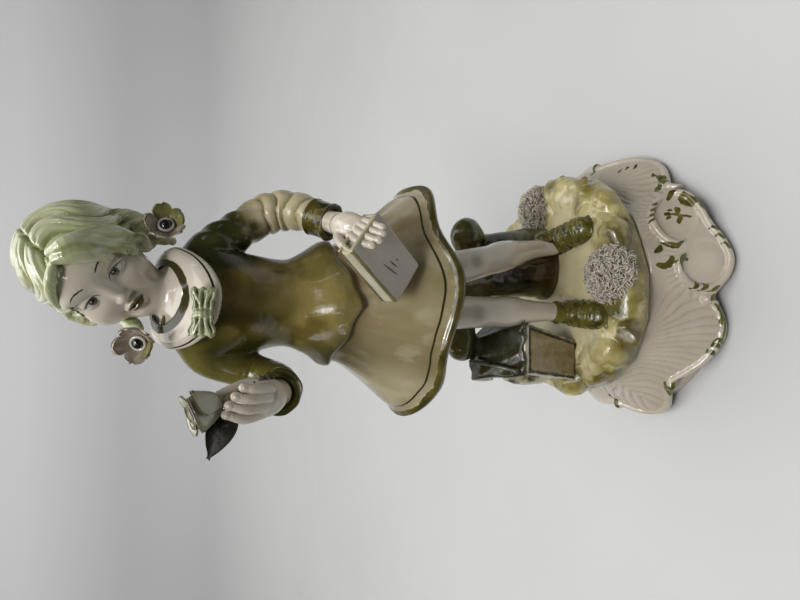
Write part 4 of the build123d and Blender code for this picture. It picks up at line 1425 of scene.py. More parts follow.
def face(q):
    m = mirrored(q)
    skull = ellipsoid(q, (0, 1, 1), (18.4, 22.2, 20.4))
    forehead = ellipsoid(q, (0, -6.4, 5.2), (17.0, 16.8, 12.5))
    skull = join(skull, forehead, 5)
    front = ellipsoid(q, (0, -6.5, -8), (16.0, 15.3, 19.6))
    body = join(skull, front, 6)
    body = join(body, ellipsoid(m, (8.5, -13.4, -12), (8.4, 8.0, 8.8)), 5)
    body = join(body, ellipsoid(q, (0, -16.2, -23.4), (6.4, 5.8, 4.8)), 5)
    body = body + bump(m, (7.8, -21.5, -3.2), (5.4, 4.5, 4.2), 1.7)
    brow = ellipsoid(m, (7.6, -18.6, 3.4), (7.0, 2.8, 2.6))
    body = join(body, brow, 4)
    bridge = tube(q,
        [(0, -20.4, 3.0, 1.6), (0, -21.6, -2, 1.6), (0, -23.0, -8, 1.6), (0, -24.2, -10.8, 1.9)], 4)
    body = join(body, bridge, 3.0)
    body = join(body, ellipsoid(q, (0, -24.1, -11.2), (2.0, 1.9, 1.7)), 1.2)
    body = join(body, ellipsoid(m, (2.0, -22.7, -11.8), (1.4, 1.8, 1.2)), 0.9)
    body = cut(body, ellipsoid(m, (1.1, -23.6, -12.9), (0.5, 0.9, 0.4)), 0.5)
    body = body + bump(q, (0, -23.2, -14.6), (0.9, 2, 1.3), 0.35)
    upper = tube(m, [(0, -23.4, -16.0, 1.15), (2.2, -23.0, -15.7, 1.1), (4.6, -21.4, -16.9, 0.55)], 3)
    lower = tube(m, [(0, -23.2, -18.6, 1.35), (2.0, -22.8, -18.4, 1.2), (4.3, -21.3, -17.3, 0.6)], 3)
    body = join(join(body, upper, 1.3), lower, 1.3)
    body = body + 0.35 * np.exp(-((q[2] + 17.1 + 0.03 * m[0] ** 2) / 0.5) ** 2) * ramp(m[0], 5.2,
        3.6) * (q[1] < -18)
    body = body + bump(q, (0, -22.4, -21.0), (3.6, 2.5, 1.2), 0.6)
    body = body + bump(m, (6.2, -19.5, -17.4), (1.4, 2.5, 1.8), 0.4)
    return join(body, eyes(q, m), 0.25)


def eyes(q, m):
    upper_edge, lower_edge = lid_lines(q)
    at = (7.5, -15.9, -3.4)
    globe = ball(m, at, 5.2)
    upper = both(ball(m, at, 5.85), upper_edge - q[2], 0.35)
    upper = both(upper, q[2] - 2.2, 2.5)
    lower = both(ball(m, at, 5.55), q[2] - lower_edge, 0.4)
    return join(globe, join(upper, lower, 0.2), 0.12)


def head(p):
    q = local(p, HEAD_AT, HEAD_AXES)
    neck = tube(p, NECK, 4)
    under = ellipsoid(q, (0, -5, -21), (10.5, 10.5, 7.5))
    nape = ellipsoid(q, (0, 8, -16), (13, 11, 9))
    shoulders = ellipsoid(p, (-8.6, -5.0, 268.6), (17.4, 15.6, 7.6), turn(x=21))
    body = join(join(face(q), under, 4.0), nape, 4.0)
    body = join(body, join(neck, shoulders, 3.0), 4.0)
    hollow_of_neck = bump(p, (-9.8, -15.4, 268), (2.2, 3, 2.2), 0.5)
    return both(body + hollow_of_neck, 262 - p[2], 0.6)


def face_marks(p):
    """Painted lines of the face as distances in mm, seen from straight in front."""
    q = local(p, HEAD_AT, HEAD_AXES)
    x, z = np.abs(q[0]), q[2]
    back = np.where(q[1] > -10, 50.0, 0.0)
    upper_edge, lower_edge = lid_lines(q)
    at = (7.5, -15.9, -3.4)
    m = mirrored(q)
    on_globe = np.abs(length(m - column(at)) - 5.2)
    opening = np.maximum(np.maximum(z - upper_edge, lower_edge - z), x - 11.6)
    opening = np.maximum(opening, 3.4 - x)
    iris = np.hypot(x - 7.3, z + 3.5) - 1.75
    pupil = np.hypot(x - 7.3, z + 3.5) - 0.8
    glint = np.hypot(q[0] + 0.5 - np.sign(q[0]) * 7.3, z + 2.9) - 0.36
    lash = stroke(x, z,
        [(3.5, -3.9, 0.15), (5.2, -2.45, 0.32), (7.4, -1.95, 0.42), (9.8, -2.3, 0.42), (11.9, -3.7, 0.2)], 6)
    below = stroke(x, z, [(5.0, -5.0, 0.08), (7.4, -5.5, 0.14), (10.0, -4.9, 0.08)], 5)
    brow = stroke(x, z, [(3.8, 3.4, 0.2), (6.4, 4.3, 0.36), (9.4, 4.3, 0.3), (12.0, 3.2, 0.12)], 6)
    lips = stroke(x, z, [(0, -16.5, 0.95), (1.5, -16.2, 1.0), (4.2, -16.9, 0.35)], 5)
    lips = np.minimum(lips, stroke(x, z, [(0, -18.0, 1.35), (1.8, -17.9, 1.15), (4.0, -17.1, 0.35)], 5))
    cheek = np.hypot((x - 10.5) / 1.15, z + 11.5) - 4.0
    return {
        "white": opening + back + on_globe * 0.3, "iris": np.maximum(iris, opening) + back,
        "pupil": np.maximum(pupil, opening) + back,
        "glint": np.maximum(glint, opening) + back, "lash": np.minimum(lash, below + 0.02) + back,
        "brow": brow + back,
        "lips": lips + back, "cheek": cheek + back,
        "seam": np.abs(z + 17.1 + 0.03 * x * x) + np.where(x > 4.6, 9, 0) + back,
    }


def build_head():
    low, high = node_box("head")
    points, faces = sculpt(head, low - 16, high + 10, 0.42)
    return points, faces, face_marks(points.T.astype(np.float32))


def head_glaze():
    skin = Glaze("face_glaze", tint(210, 200, 182), tint(221, 212, 195), 26)
    skin.paint("cheek", 3.0, -3.0, tint(208, 186, 172), top=0.35)
    skin.paint("white", 0.15, -0.15, tint(214, 212, 206), top=0.9)
    skin.paint("iris", 0.12, -0.12, tint(70, 66, 40), tint(96, 92, 62), grain=900)
    skin.paint("pupil", 0.1, -0.1, tint(16, 14, 10))
    skin.paint("glint", 0.08, -0.08, tint(232, 232, 230))
    skin.paint("lash", 0.1, -0.1, tint(30, 24, 18))
    skin.paint("brow", 0.1, -0.12, tint(58, 48, 34), fray=0.12, grain=1400)
    skin.paint("lips", 0.12, -0.18, tint(78, 66, 34), tint(112, 92, 56), fray=0.1, grain=700)
    skin.paint("seam", 0.35, 0.12, tint(54, 44, 22), top=0.7)
    return skin.fired(rough=(0.09, 0.16), bump=0.00006, grain=60, coat=0.7)


# ---------------------------------------------------------------- hair
def hair_flow(q):
    """Strands run from the middle parting round each side to the place it is tied."""
    side = np.sign(q[0])
    m = mirrored(q)
    tie = unit((0.86, 0.22, -0.52))
    across = unit(np.cross(tie, (0, 0, 1)))
    upward = np.cross(across, tie)
    v = m - column((0, 1, 1))
    v = v / np.maximum(length(v), 1e-3)
    along = v[0] * tie[0] + v[1] * tie[1] + v[2] * tie[2]
    a = v[0] * across[0] + v[1] * across[1] + v[2] * across[2]
    b = v[0] * upward[0] + v[1] * upward[1] + v[2] * upward[2]
    spread = np.arccos(np.clip(along, -1, 1))
    return np.arctan2(a, b), spread, side


def hair_grooves(q):
    way, spread, side = hair_flow(q)
    wander = 0.20 * np.sin(spread * 3.8 + side * 0.8) + 0.05 * np.sin(way * 5 + side)
    lock = np.abs(np.sin((way + wander) * 7.0 + side * 0.45))
    strand = np.abs(np.sin((way + wander * 1.25) * 26 + side + 0.8 * np.sin(way * 7)))
    hair = np.abs(np.sin((way + wander) * 61 + side * 2))
    window = ramp(spread, 0.12, 0.45)
    part = np.exp(-(q[0] / 0.8) ** 2) * ramp(q[2], -4, 6)
    return lock, strand, hair, window, part


def lock_relief(q):
    lock, _, _, window, part = hair_grooves(q)
    return window * 3.4 * (lock ** 0.55 - 0.74) - 1.8 * part


def strand_relief(q):
    _, strand, fine, window, _ = hair_grooves(q)
    return window * (0.6 * (strand ** 0.6 - 0.6) + 0.14 * (fine - 0.6))


HAIRLINE_LOCKS = [
    [(1.2, -20.8, 17.0, 1.8), (6, -22.2, 14.2, 2.8), (11.6, -20.8, 8.6, 2.8), (16, -17.4, 1.6, 2.4),
        (18.6, -13.6, -6, 1.4)],
    [(2.4, -18.6, 19.2, 1.8), (9, -20.8, 17, 3.0), (15.8, -18, 10.2, 3.2), (19.8, -13.4, 2, 3.0),
        (21, -9, -8, 2.0)],
    [(-1.2, -20.4, 16.6, 1.4), (-6, -21.2, 14.6, 2.0), (-10.8, -19.6, 11, 2.1), (-14.8, -16.2, 6, 1.9),
        (-17.4, -12, 0, 1.3)],
]
FORELOCKS = [
    [(1.6, -21, 16.6, 1.6), (5.4, -22.6, 12.8, 2.4), (8.8, -23.0, 8.4, 2.4), (10.6, -22.4, 4.2, 1.7),
        (10.0, -22.2, 1.6, 0.8)],
    [(3, -20.4, 17, 1.8), (8.6, -22, 13, 2.8), (13, -20.8, 7, 2.8), (15.4, -18.4, 0.6, 2.1),
        (15.2, -18.2, -3.4, 1.0)],
]
TEMPLE_CURLS = [
    [(19.8, -12.4, -4, 1.6), (22.4, -10.6, -8.4, 2.4), (20.4, -12.4, -12, 2.0), (18.4, -12.2, -9.6, 1.3)],
    [(22.8, -6, -7, 1.8), (24.6, -4.2, -12.6, 2.7), (21.8, -6.2, -16.6, 2.3), (19.6, -7, -13.4, 1.5)],
    [(24.8, 1, -2, 1.8), (26.6, 1.6, -8, 2.8), (24.6, 0.4, -14, 2.8), (21.6, -1.6, -16, 1.8)],
    [(22, 1, -14, 2.6), (21, 0, -19, 3.2), (18.6, -2, -23.4, 2.8), (17.8, -4.4, -25.6, 1.6)],
    [(-17.6, -11.4, 0, 1.5), (-19.6, -9.6, -4.5, 2.1), (-18.8, -11, -8.8, 1.9), (-17.2, -11.8, -7.2, 1.2)],
    [(-19.2, -7.4, -6.5, 1.6), (-20.4, -6, -11.5, 2.2), (-18.6, -8, -15, 1.9), (-17.2, -8.6, -12.6, 1.3)],
    [(-20.6, -1, 1, 1.7), (-21.6, -0.4, -5, 2.3), (-20.4, -2, -10.6, 2.2), (-18.6, -3.4, -13, 1.5)],
]
BUNCHES = [
    [(-10, 8, 294, 4.2), (-15.6, 6, 290, 3.9), (-20, 2, 287, 3.4), (-22.4, -3, 285, 2.8),
        (-23.4, -7, 284, 1.8)],
    [(22.6, -2, 296, 4.6), (23.0, -4, 289, 4.8), (20.6, -5.4, 282, 4.6), (17.4, -5, 275.6, 3.8),
        (15.2, -4.6, 271, 1.9)],
]


def hair_cap(q):
    wide = np.where(q[0] < 0, 21.4, 23.6)
    squeezed = np.stack([q[0] * 23.8 / wide, q[1], q[2]])
    body = ellipsoid(squeezed, (0, 1.2, 0.6), (23.8, 26.2, 24.6)) + 1.8 * ramp(q[2], -6, -18)
    opening_low = (np.hypot(q[0] / 15.8, (q[2] + 8) / 21.2) - 1) * 15
    body = body - lock_relief(q)
    body = cut(body, both(opening_low, q[1] + 4, 1.5), 0.8)
    body = body - strand_relief(q)
    for rows in HAIRLINE_LOCKS + FORELOCKS + TEMPLE_CURLS:
        body = join(body, tube(q, rows, 4), 0.9)
    return both(body, -(q[2] + 19.5 + 0.28 * q[1]), 2.5)


def hair(p):
    q = local(p, HEAD_AT, HEAD_AXES)
    body = hair_cap(q)
    for index, rows in enumerate(BUNCHES):
        twist = np.sin(np.arctan2(p[1] + 4, p[0] - rows[1][0]) * 5 + p[2] * 0.55 + index)
        body = join(body, tube(p, rows, 4) - 0.7 * np.abs(twist) ** 0.7 + 0.4, 1.6)
    return body


def build_hair():
    low, high = node_box("hair")
    low = np.minimum(low, np.minimum(node_box("right_bunch")[0], node_box("left_bunch")[0]))
    high = np.maximum(high, np.maximum(node_box("right_bunch")[1], node_box("left_bunch")[1]))
    points, faces = sculpt(hair, low - 14, high + 14, 0.45)
    p = points.T.astype(np.float32)
    q = local(p, HEAD_AT, HEAD_AXES)
    lock, strand, fine, window, part = hair_grooves(q)
    deep = 1 - (0.65 * lock ** 0.6 + 0.25 * strand + 0.1 * fine)
    deep = np.maximum(deep * window, part)
    return points, faces, {"deep": deep, "crown": q[2]}


def hair_glaze():
    green = Glaze("hair_glaze", tint(180, 180, 138), tint(206, 206, 170), 60)
    green.paint("crown", -6, 16, tint(194, 196, 152), tint(210, 210, 182), fray=6, grain=60, top=0.6)
    green.cloud(tint(164, 172, 118), 0.6, 0.9, 70, 0.35)
    green.paint("deep", 0.34, 0.78, tint(126, 138, 72), tint(156, 164, 104), fray=0.10, grain=170)
    green.paint("deep", 0.16, 0.0, tint(214, 212, 188), fray=0.06, grain=150, top=0.7)
    return green.fired(rough=(0.08, 0.18), bump=0.00012, grain=150, coat=0.8)


# ---------------------------------------------------------------- flowers, rose and leaf
def petal(at, out, up, reach, wide, cup, ruffle, seed, rows=18, columns=22):
    """A cupped petal from its root outwards: a grid of points (rows, columns, 3)."""
    rng = np.random.default_rng(seed)
    out, up = unit(out), unit(up)
    side = np.cross(up, out)
    s, t = np.meshgrid(np.linspace(0, 1, rows), np.linspace(-1, 1, columns), indexing="ij")
    half = wide * (0.30 + 0.70 * np.sin(np.clip(s * 1.15, 0,
        1) * math.pi / 2)) * np.sqrt(np.clip(1 - np.clip((s - 0.55) / 0.45, 0, 1) ** 2.4, 0.06, 1))
    edge = ruffle * np.sin(t * 5 + rng.uniform(0, 6)) * s * s
    rise = cup * (0.9 * s + 0.7 * s * s) + (0.22 * wide) * (t * t) * s + edge
    forward = reach * s
    points = np.array(at) + forward[..., None] * out + (half * t)[..., None] * side + rise[..., None] * up
    return points


def flower_frame(name):
    face_way = {"right": (-0.35, -0.85, 0.35), "left": (0.40, -0.88, 0.15)}[name]
    drop = {"right": 3.4, "left": 0.6}[name]
    return node_middle(name + "_flower_eye") - np.array([0, 0, drop]), unit(face_way)


def build_flower(name, olive, start, spans):
    at, way = flower_frame(name)
    axes = facing(way)
    points, faces, values, count = [], [], [], 0
    for index in range(5):
        angle = math.radians(start + index * 72)
        out = axes @ np.array([math.cos(angle), math.sin(angle), 0.0])
        root = at - way * 3.0 + out * 2.3
        grid = petal(root, out + way * 0.12, way, spans[index], 4.3, 3.2, 0.3, index + 11)
        p, f = sheet_mesh(grid, 1.0)
        points.append(p)
        faces.append(f + count)
        count += len(p)
        values.append(np.full(len(p), 1.0 if index in olive else 0.0))
    return np.concatenate(points), np.concatenate(faces), {"olive": np.concatenate(values)}


def petal_glaze():
    clay = Glaze("petal_glaze", tint(150, 136, 116), tint(186, 174, 156), 150)
    clay.cloud(tint(124, 116, 76), 0.6, 0.95, 190, 0.5)
    clay.paint("olive", 0.4, 0.6, tint(92, 90, 40), tint(138, 132, 76), fray=0.1, grain=200, top=0.95)
    return clay.fired(rough=(0.12, 0.28), bump=0.0002, grain=240, coat=0.5)


def build_cup(name):
    at, way = flower_frame(name)

    def shape(p):
        q = local(p, at - way * 0.4, facing(way))
        ring = torus(q, (0, 0, 0), 2.8, 0.65)
        return join(ring, ellipsoid(q, (0, 0, -1.6), (3.2, 3.2, 1.6)), 0.6)
    points, faces = sculpt(shape, at - 9, at + 9, 0.28)
    return points, faces, {"height": points[:, 2]}


def build_eye(name):
    at, way = flower_frame(name)

    def shape(p):
        q = local(p, at, facing(way))
        return ellipsoid(q, (0, 0, -0.4), (2.45, 2.45, 1.9)) - 0.05 * waves(q, 2.4, 5)
    points, faces = sculpt(shape, at - 8, at + 8, 0.28)
    return points, faces, {"height": points[:, 2]}


def cup_glaze():
    white = Glaze("cup_glaze", tint(196, 192, 184), tint(214, 210, 204), 200)
    return white.fired(rough=(0.08, 0.16), bump=0.00008, grain=200, coat=0.7)


def eye_glaze():
    black = Glaze("eye_glaze", tint(6, 6, 6), tint(22, 20, 16), 300)
    return black.fired(rough=(0.03, 0.10), bump=0.00008, grain=300, coat=1.0)


ROSE_WAY = unit((-0.36, -0.12, 0.92))


def rose_sheet(start, span, foot, rim, tall, flare, seed, thick=0.75, lift=0.0):
    """One wrapped petal: an arc round the rose's axis that rises, flares and rolls at its rim."""
    rng = np.random.default_rng(seed)
    s, t = np.meshgrid(np.linspace(0, 1, 26), np.linspace(-1, 1, 44), indexing="ij")
    angle = np.radians(start + span * t)
    rounded = 1 - np.abs(t) ** 3.5
    radius = foot + (rim - foot) * s ** 0.7 + flare * np.clip((s - 0.78) / 0.22, 0, 1) ** 1.6 * rounded
    radius = radius + 0.15 * np.sin(angle * 4 + rng.uniform(0, 6)) * s
    height = lift + tall * s * (0.72 + 0.28 * rounded) - 0.9 * flare * np.clip((s - 0.9) / 0.1, 0,
        1) ** 2 * rounded * 0.4
    axes = facing(ROSE_WAY)
    flat = np.stack([radius * np.cos(angle), radius * np.sin(angle), height], 2)
    base = node_middle("rose_stem") + np.array([-0.4, 0, 3.4])
    points = base + flat @ axes.T
    p, f = sheet_mesh(points, thick)
    edge = np.concatenate([((1 - s) * tall).ravel()] * 2)
    return p, f, edge


def build_rose(rows):
    points, faces, edges, count = [], [], [], 0
    for row in rows:
        p, f, edge = rose_sheet(*row)
        points.append(p)
        faces.append(f + count)
        edges.append(edge)
        count += len(p)
    return np.concatenate(points), np.concatenate(faces), {"edge": np.concatenate(edges)}


def build_rose_petals():
    return build_rose([
        (235, 88, 3.4, 6.3, 12.4, 1.4, 1), (350, 66, 3.5, 7.4, 11.4, 2.4, 2),
        (95, 75, 3.6, 6.6, 11.6, 1.8, 3),
        (20, 44, 4.0, 8.4, 9.0, 2.0, 4, 0.8),
    ])


def build_rose_heart():
    return build_rose([
        (0, 165, 1.4, 2.3, 11.0, 0.3, 5), (140, 120, 2.3, 4.0, 11.6, 0.5, 6),
        (260, 110, 2.6, 4.9, 11.8, 0.7, 7),
    ])


def rose_glaze():
    cream = Glaze("rose_glaze", tint(176, 170, 142), tint(206, 202, 182), 130)
    cream.cloud(tint(166, 166, 118), 0.6, 0.95, 150, 0.5)
    cream.paint("edge", 0.9, 0.3, tint(58, 48, 20), tint(118, 108, 62), fray=0.5, grain=330, top=0.9)
    return cream.fired(rough=(0.08, 0.18), bump=0.0001, grain=200, coat=0.7)


def build_stem():
    def shape(p):
        stem = tube(p,
            [(-44.6, -47.4, 236.4, 1.0), (-42.6, -48.6, 240, 1.7), (-43.6, -49, 244, 1.5),
                (-46.6, -50, 250, 1.5), (-48.7, -50, 256.6, 2.6)], 4)
        knots = 0.35 * np.sin(p[2] * 2.4) + 0.25 * waves(p, 2.5, 51)
        twist = tube(p, [(-42.2, -47.4, 243.4, 0.9), (-40.9, -47.8, 240, 1.3), (-41.4, -47, 236.6, 1.0)], 4)
        return join(stem, twist, 0.5) - knots
    points, faces = sculpt(shape, (-60, -62, 226), (-30, -36, 268), 0.3)
    return points, faces, {"height": points[:, 2]}


def stem_glaze():
    brown = Glaze("stem_glaze", tint(34, 28, 16), tint(96, 84, 62), 500)
    brown.paint("height", 249, 252, tint(150, 146, 112), tint(180, 176, 150), fray=1.0, grain=300)
    return brown.fired(rough=(0.12, 0.3), bump=0.0003, grain=400, coat=0.5)


def build_leaf():
    """A pointed leaf: a sheet folded a little along its rib."""
    low, high = node_box("rose_leaf")
    tip = np.array([low[0] + 0.4, -50.5, high[2] - 1.0])
    root = np.array([high[0] + 0.6, -51.5, low[2] + 1.2])
    s, t = np.meshgrid(np.linspace(0, 1, 60), np.linspace(-1, 1, 31), indexing="ij")
    half = 5.3 * np.sin(np.clip(s, 0, 1) ** 0.72 * math.pi) ** 0.85 + 0.4 * (1 - s) + 0.12
    along = tip - root
    way = unit(along)
    face_way = unit(np.array([0.22, -0.86, 0.46]) - way * np.dot([0.22, -0.86, 0.46], way))
    side = np.cross(face_way, way)
    veins = 0.10 * np.cos(np.abs(t) * 5 - s * 30) * np.abs(t) * (1 - np.abs(t))
    lift = 1.3 * t * t * np.sin(s * math.pi) + 0.9 * np.sin(s * math.pi) + veins * 2
    points = root + s[..., None] * along + (half * t)[..., None] * side + lift[..., None] * face_way
    p, f = sheet_mesh(points, 1.1)
    rib = np.concatenate([np.abs(t).ravel()] * 2)
    return p, f, {"rib": rib}


def leaf_glaze():
    dark = Glaze("leaf_glaze", tint(9, 7, 2), tint(26, 20, 7), 120)
    dark.paint("rib", 0.08, 0.02, tint(44, 36, 14), fray=0.05, grain=400, top=0.6)
    return dark.fired(rough=(0.4, 0.55), bump=0.0002, grain=240, coat=0.0, shine=0.2)


# ---------------------------------------------------------------- book
BOOK_AT = node_middle("book_cover") + np.array([-0.2, -4.2, -1.5])
BOOK_AXES = np.array([(0.627, -0.289, 0.724), (-0.779, -0.185, 0.600), (-0.04, -0.939, -0.342)], np.float32).T


def boards(q):
    x, y, z = q
    swell = 1.3 * (1 - (y / 11) ** 2) * (x < 0)
    front = slab(np.stack([x + swell * 0.5, y, z + 0.25 * np.cos(y * 0.14)]), (0, 0, -0.6),
        (16.6, 10.9, 1.05), None, 0.8)
    back = slab(np.stack([x + swell * 0.5, y, z]), (0, 0, -8.4), (16.4, 10.7, 0.8), None, 0.6)
    spine = slab(q, (0, -10.2, -4.4), (15.8, 1.0, 4.4), None, 0.8)
    curl = tube(q,
        [(15.4, 10.4, -1.0, 0.9), (17.2, 9.6, -3.6, 1.0), (17.0, 7.4, -6.6, 0.95), (15.6, 3.0, -8.4, 0.8)], 5)
    return join(join(front, spine, 0.8), join(back, curl, 1.0), 0.5)


def pages(q):
    x, y, z = q
    swell = 1.5 * (1 - ((z + 4.4) / 4.4) ** 2)
    body = slab(np.stack([x, y - swell * ramp(y, 0, 10), z]), (-0.3, 0.2, -4.5), (15.8, 9.4, 3.7), None, 0.7)
    leaves = 0.07 * np.sin(z * 9)
    return body - leaves


def build_book(shape):
    low, high = node_box("book_cover")
    points, faces = sculpt(lambda p: shape(local(p, BOOK_AT, BOOK_AXES)), low - 9, high + 9, 0.4)
    q = local(points.T.astype(np.float32), BOOK_AT, BOOK_AXES)
    x, y, z = q
    on_front = np.where(z > -1.5, 0.0, 8.0)
    marks = stroke(x, y, [(-9.0, 1.2, 0.2), (-5, 2.2, 0.42), (0.2, 3.2, 0.2)], 4)
    marks = np.minimum(marks, stroke(x, y, [(-7, -1.2, 0.2), (-4, -0.6, 0.42), (-1.6, -0.2, 0.15)], 4))
    marks = np.minimum(marks, stroke(x, y, [(-5, -3.6, 0.32), (-4.2, -3.4, 0.26)], 2))
    rim = np.minimum(10.6 - y, 16.2 + x + 0.6 * (1 - (y / 11) ** 2) + 0.9)
    return points, faces, {"mark": marks + on_front, "rim": rim, "leaf": z, "top": x}


def cover_glaze():
    cover = Glaze("cover_glaze", tint(164, 155, 140), tint(184, 175, 160), 50)
    cover.paint("rim", 0.85, 0.5, tint(84, 78, 34), tint(126, 116, 66), fray=0.35, grain=180, top=0.9)
    cover.paint("top", 15.6, 16.2, tint(166, 158, 122), tint(196, 190, 160), fray=0.4, grain=200)
    cover.paint("mark", 0.08, -0.08, tint(34, 30, 26))
    return cover.fired(rough=(0.12, 0.24), bump=0.00012, grain=90, coat=0.35)


def page_glaze():
    page = Glaze("page_glaze", tint(186, 180, 154), tint(208, 204, 186), 90)
    page.cloud(tint(160, 156, 110), 0.62, 0.95, 110, 0.45)
    page.paint("leaf", -1.6, -1.0, tint(84, 78, 36), fray=0.3, grain=200, top=0.7)
    return page.fired(rough=(0.12, 0.24), bump=0.00015, grain=160, coat=0.5)


# ---------------------------------------------------------------- tufts
def strand(rows, sides=6):
    """A closed bent strand through rows of x, y, z, radius."""
    line = curve(rows, 3)
    tangent = np.gradient(line[:, :3], axis=0)
    tangent /= np.linalg.norm(tangent, axis=1, keepdims=True)
    side = np.cross(tangent, [0.31, 0.52, 0.79])
    side /= np.linalg.norm(side, axis=1, keepdims=True)
    other = np.cross(tangent, side)
    angles = np.linspace(0, 2 * math.pi, sides, endpoint=False)
    ring = np.cos(angles)[None, :, None] * side[:, None] + np.sin(angles)[None, :, None] * other[:, None]
    points = line[:, None, :3] + ring * line[:, None, 3:]
    ends = np.array([line[0, :3], line[-1, :3] + tangent[-1] * line[-1, 3]])
    count = len(line) * sides
    body = grid_faces(len(line), sides, False, True)
    turns = np.arange(sides)
    following = (turns + 1) % sides
    start = np.stack([np.full(sides, count), following, turns], 1)
    last = count - sides
    end = np.stack([np.full(sides, count + 1), last + turns, last + following], 1)
    return np.concatenate([points.reshape(-1, 3), ends]), body, np.concatenate([start, end])


def build_tuft(node, strands, seed, shift, spread):
    """Squeezed clay strands that spring from a low dome and curl over at their tips."""
    rng = np.random.default_rng(seed)
    low, high = node_box(node)
    middle, half = (low + high) / 2 + np.array(shift), (high - low) / 2 * np.array(spread)
    floor = low[2] + 0.6 + shift[2]
    quads, tris, points, shares, count = [], [], [], [], 0
    for _ in range(strands):
        turned, rise = rng.uniform(0, 2 * math.pi), math.asin(rng.uniform(0.0, 1.0))
        out = np.array([math.cos(turned) * math.cos(rise), math.sin(turned) * math.cos(rise), math.sin(rise)])
        root = np.array([*middle[:2], floor]) + out * half * 0.86
        way = unit(out + rng.normal(size=3) * 0.38)
        curl = unit(np.cross(way, rng.normal(size=3)))
        reach, size = rng.uniform(3.2, 6.0), rng.uniform(0.34, 0.46)
        bends = [root, root + reach * 0.45 * way, root + reach * (0.78 * way + 0.22 * curl),
            root + reach * (0.86 * way + 0.62 * curl)]
        rows = [(*at, size * width) for at, width in zip(bends, (1.1, 1.0, 0.95, 0.75))]
        p, q, t = strand(rows)
        points.append(p)
        quads.append(q + count)
        tris.append(t + count)
        # 0 at each root to 1 at the tip; the glaze paints shade near the roots
        shares.append(np.linspace(0, 1, len(p)))
        count += len(p)
    core = grid_dome(middle[0], middle[1], floor, half * 0.92)
    points.append(core[0])
    quads.append(core[1] + count)
    tris.append(core[2] + count)
    shares.append(np.zeros(len(core[0])))
    return np.concatenate(points), [np.concatenate(quads),
        np.concatenate(tris)], {"out": np.concatenate(shares)}


def grid_dome(x, y, z, half):
    """A closed low dome under the strands."""
    rows, columns = 14, 40
    rise = np.linspace(-0.2, math.pi / 2 - 0.06, rows)
    turns = np.linspace(0, 2 * math.pi, columns, endpoint=False)
    rise, turns = np.meshgrid(rise, turns, indexing="ij")
    bumpy = 1 + 0.06 * np.sin(turns * 7) * np.cos(rise * 5)
    points = np.stack([
        x + half[0] * np.cos(rise) * np.cos(turns) * bumpy,
        y + half[1] * np.cos(rise) * np.sin(turns) * bumpy,
        z + half[2] * 0.85 * np.sin(rise) * bumpy,
    ], 2).reshape(-1, 3)
    count = rows * columns
    turn_at = np.arange(columns)
    following = (turn_at + 1) % columns
    ends = np.array([points[:columns].mean(0), points[-columns:].mean(0)])
    base = np.stack([np.full(columns, count), following, turn_at], 1)
    last = count - columns
    top = np.stack([np.full(columns, count + 1), last + turn_at, last + following], 1)
    return np.concatenate([points, ends]), grid_faces(rows, columns, False, True), np.concatenate([base, top])


def tuft_glaze():
    bisque = Glaze("tuft_bisque", tint(172, 163, 148), tint(214, 206, 192), 400)
    # darker at the strands' roots and over the dome beneath them: painted shade deep in the tuft
    bisque.paint("out", 0.35, 0.0, tint(112, 100, 80), top=0.75)
    return bisque.fired(rough=(0.4, 0.65), bump=0.0001, grain=500, coat=0.0)


# ---------------------------------------------------------------- stage, lights and camera
TABLE_FRONT = -0.26


def stage_sheet():
    """A pale table that curves up into a wall behind her; the wall is painted darker low on its bend, as
    shade, and brighter higher up, as light.
    """
    bend = [(0.8 + 0.3 * math.sin(a), 0.3 - 0.3 * math.cos(a)) for a in np.linspace(0, math.pi / 2, 24)]
    line = np.array([(TABLE_FRONT, 0.0), (0.0, 0.0)] + bend + [(1.1, 0.48), (1.1, 1.0), (1.1, 2.4)])
    wide = np.linspace(-2.2, 2.2, 12)
    points = np.array([(x, y, z - 0.0003) for y, z in line for x in wide]) / MM
    sheet = mesh_object("stage_floor", points, grid_faces(len(line), len(wide)), {"rise": points[:, 2]})
    paper = Glaze("stage_paper", tint(196, 196, 195), tint(202, 202, 201), 3)
    # painted shade low on the wall, then painted light higher up
    paper.paint("rise", 0.0, 120.0, tint(182, 182, 182))
    paper.paint("rise", 140.0, 480.0, tint(230, 230, 230))
    sheet.data.materials.append(paper.fired(rough=(0.45, 0.6), bump=0.0, coat=0.0, fine=0.000003, grain=30))


def softbox(name, at, aim, wide, high, watts, colour=(1, 1, 1)):
    data = bpy.data.lights.new(name, "AREA")
    data.shape = "RECTANGLE"
    data.size = wide
    data.size_y = high
    data.energy = watts
    data.color = colour
    thing = bpy.data.objects.new(name, data)
    thing.location = at
    thing.rotation_euler = (Vector(aim) - Vector(at)).to_track_quat("-Z", "Y").to_euler()
    bpy.context.scene.collection.objects.link(thing)
    return thing


def light_stage():
    softbox("overhead_softbox", (-0.15, 0.1, 1.9), (0.0, 0.05, 0.2), 2.4, 1.8, 37.0)
    softbox("front_softbox", (-0.25, -0.75, 1.45), (0.0, 0.0, 0.25), 0.5, 0.35, 7.0)
    softbox("front_strip", (-0.55, -0.75, 1.25), (0.0, 0.0, 0.2), 0.07, 0.75, 1.1)
    softbox("side_strip", (0.75, -0.45, 1.15), (0.0, 0.0, 0.2), 0.05, 0.7, 0.6)
    world = bpy.data.worlds.new("studio")
    bpy.context.scene.world = world
    world.use_nodes = True
    world.node_tree.nodes["Background"].inputs["Color"].default_value = tint(206, 206, 204)
    world.node_tree.nodes["Background"].inputs["Strength"].default_value = 0.10
    bpy.context.scene.view_settings.view_transform = "Standard"


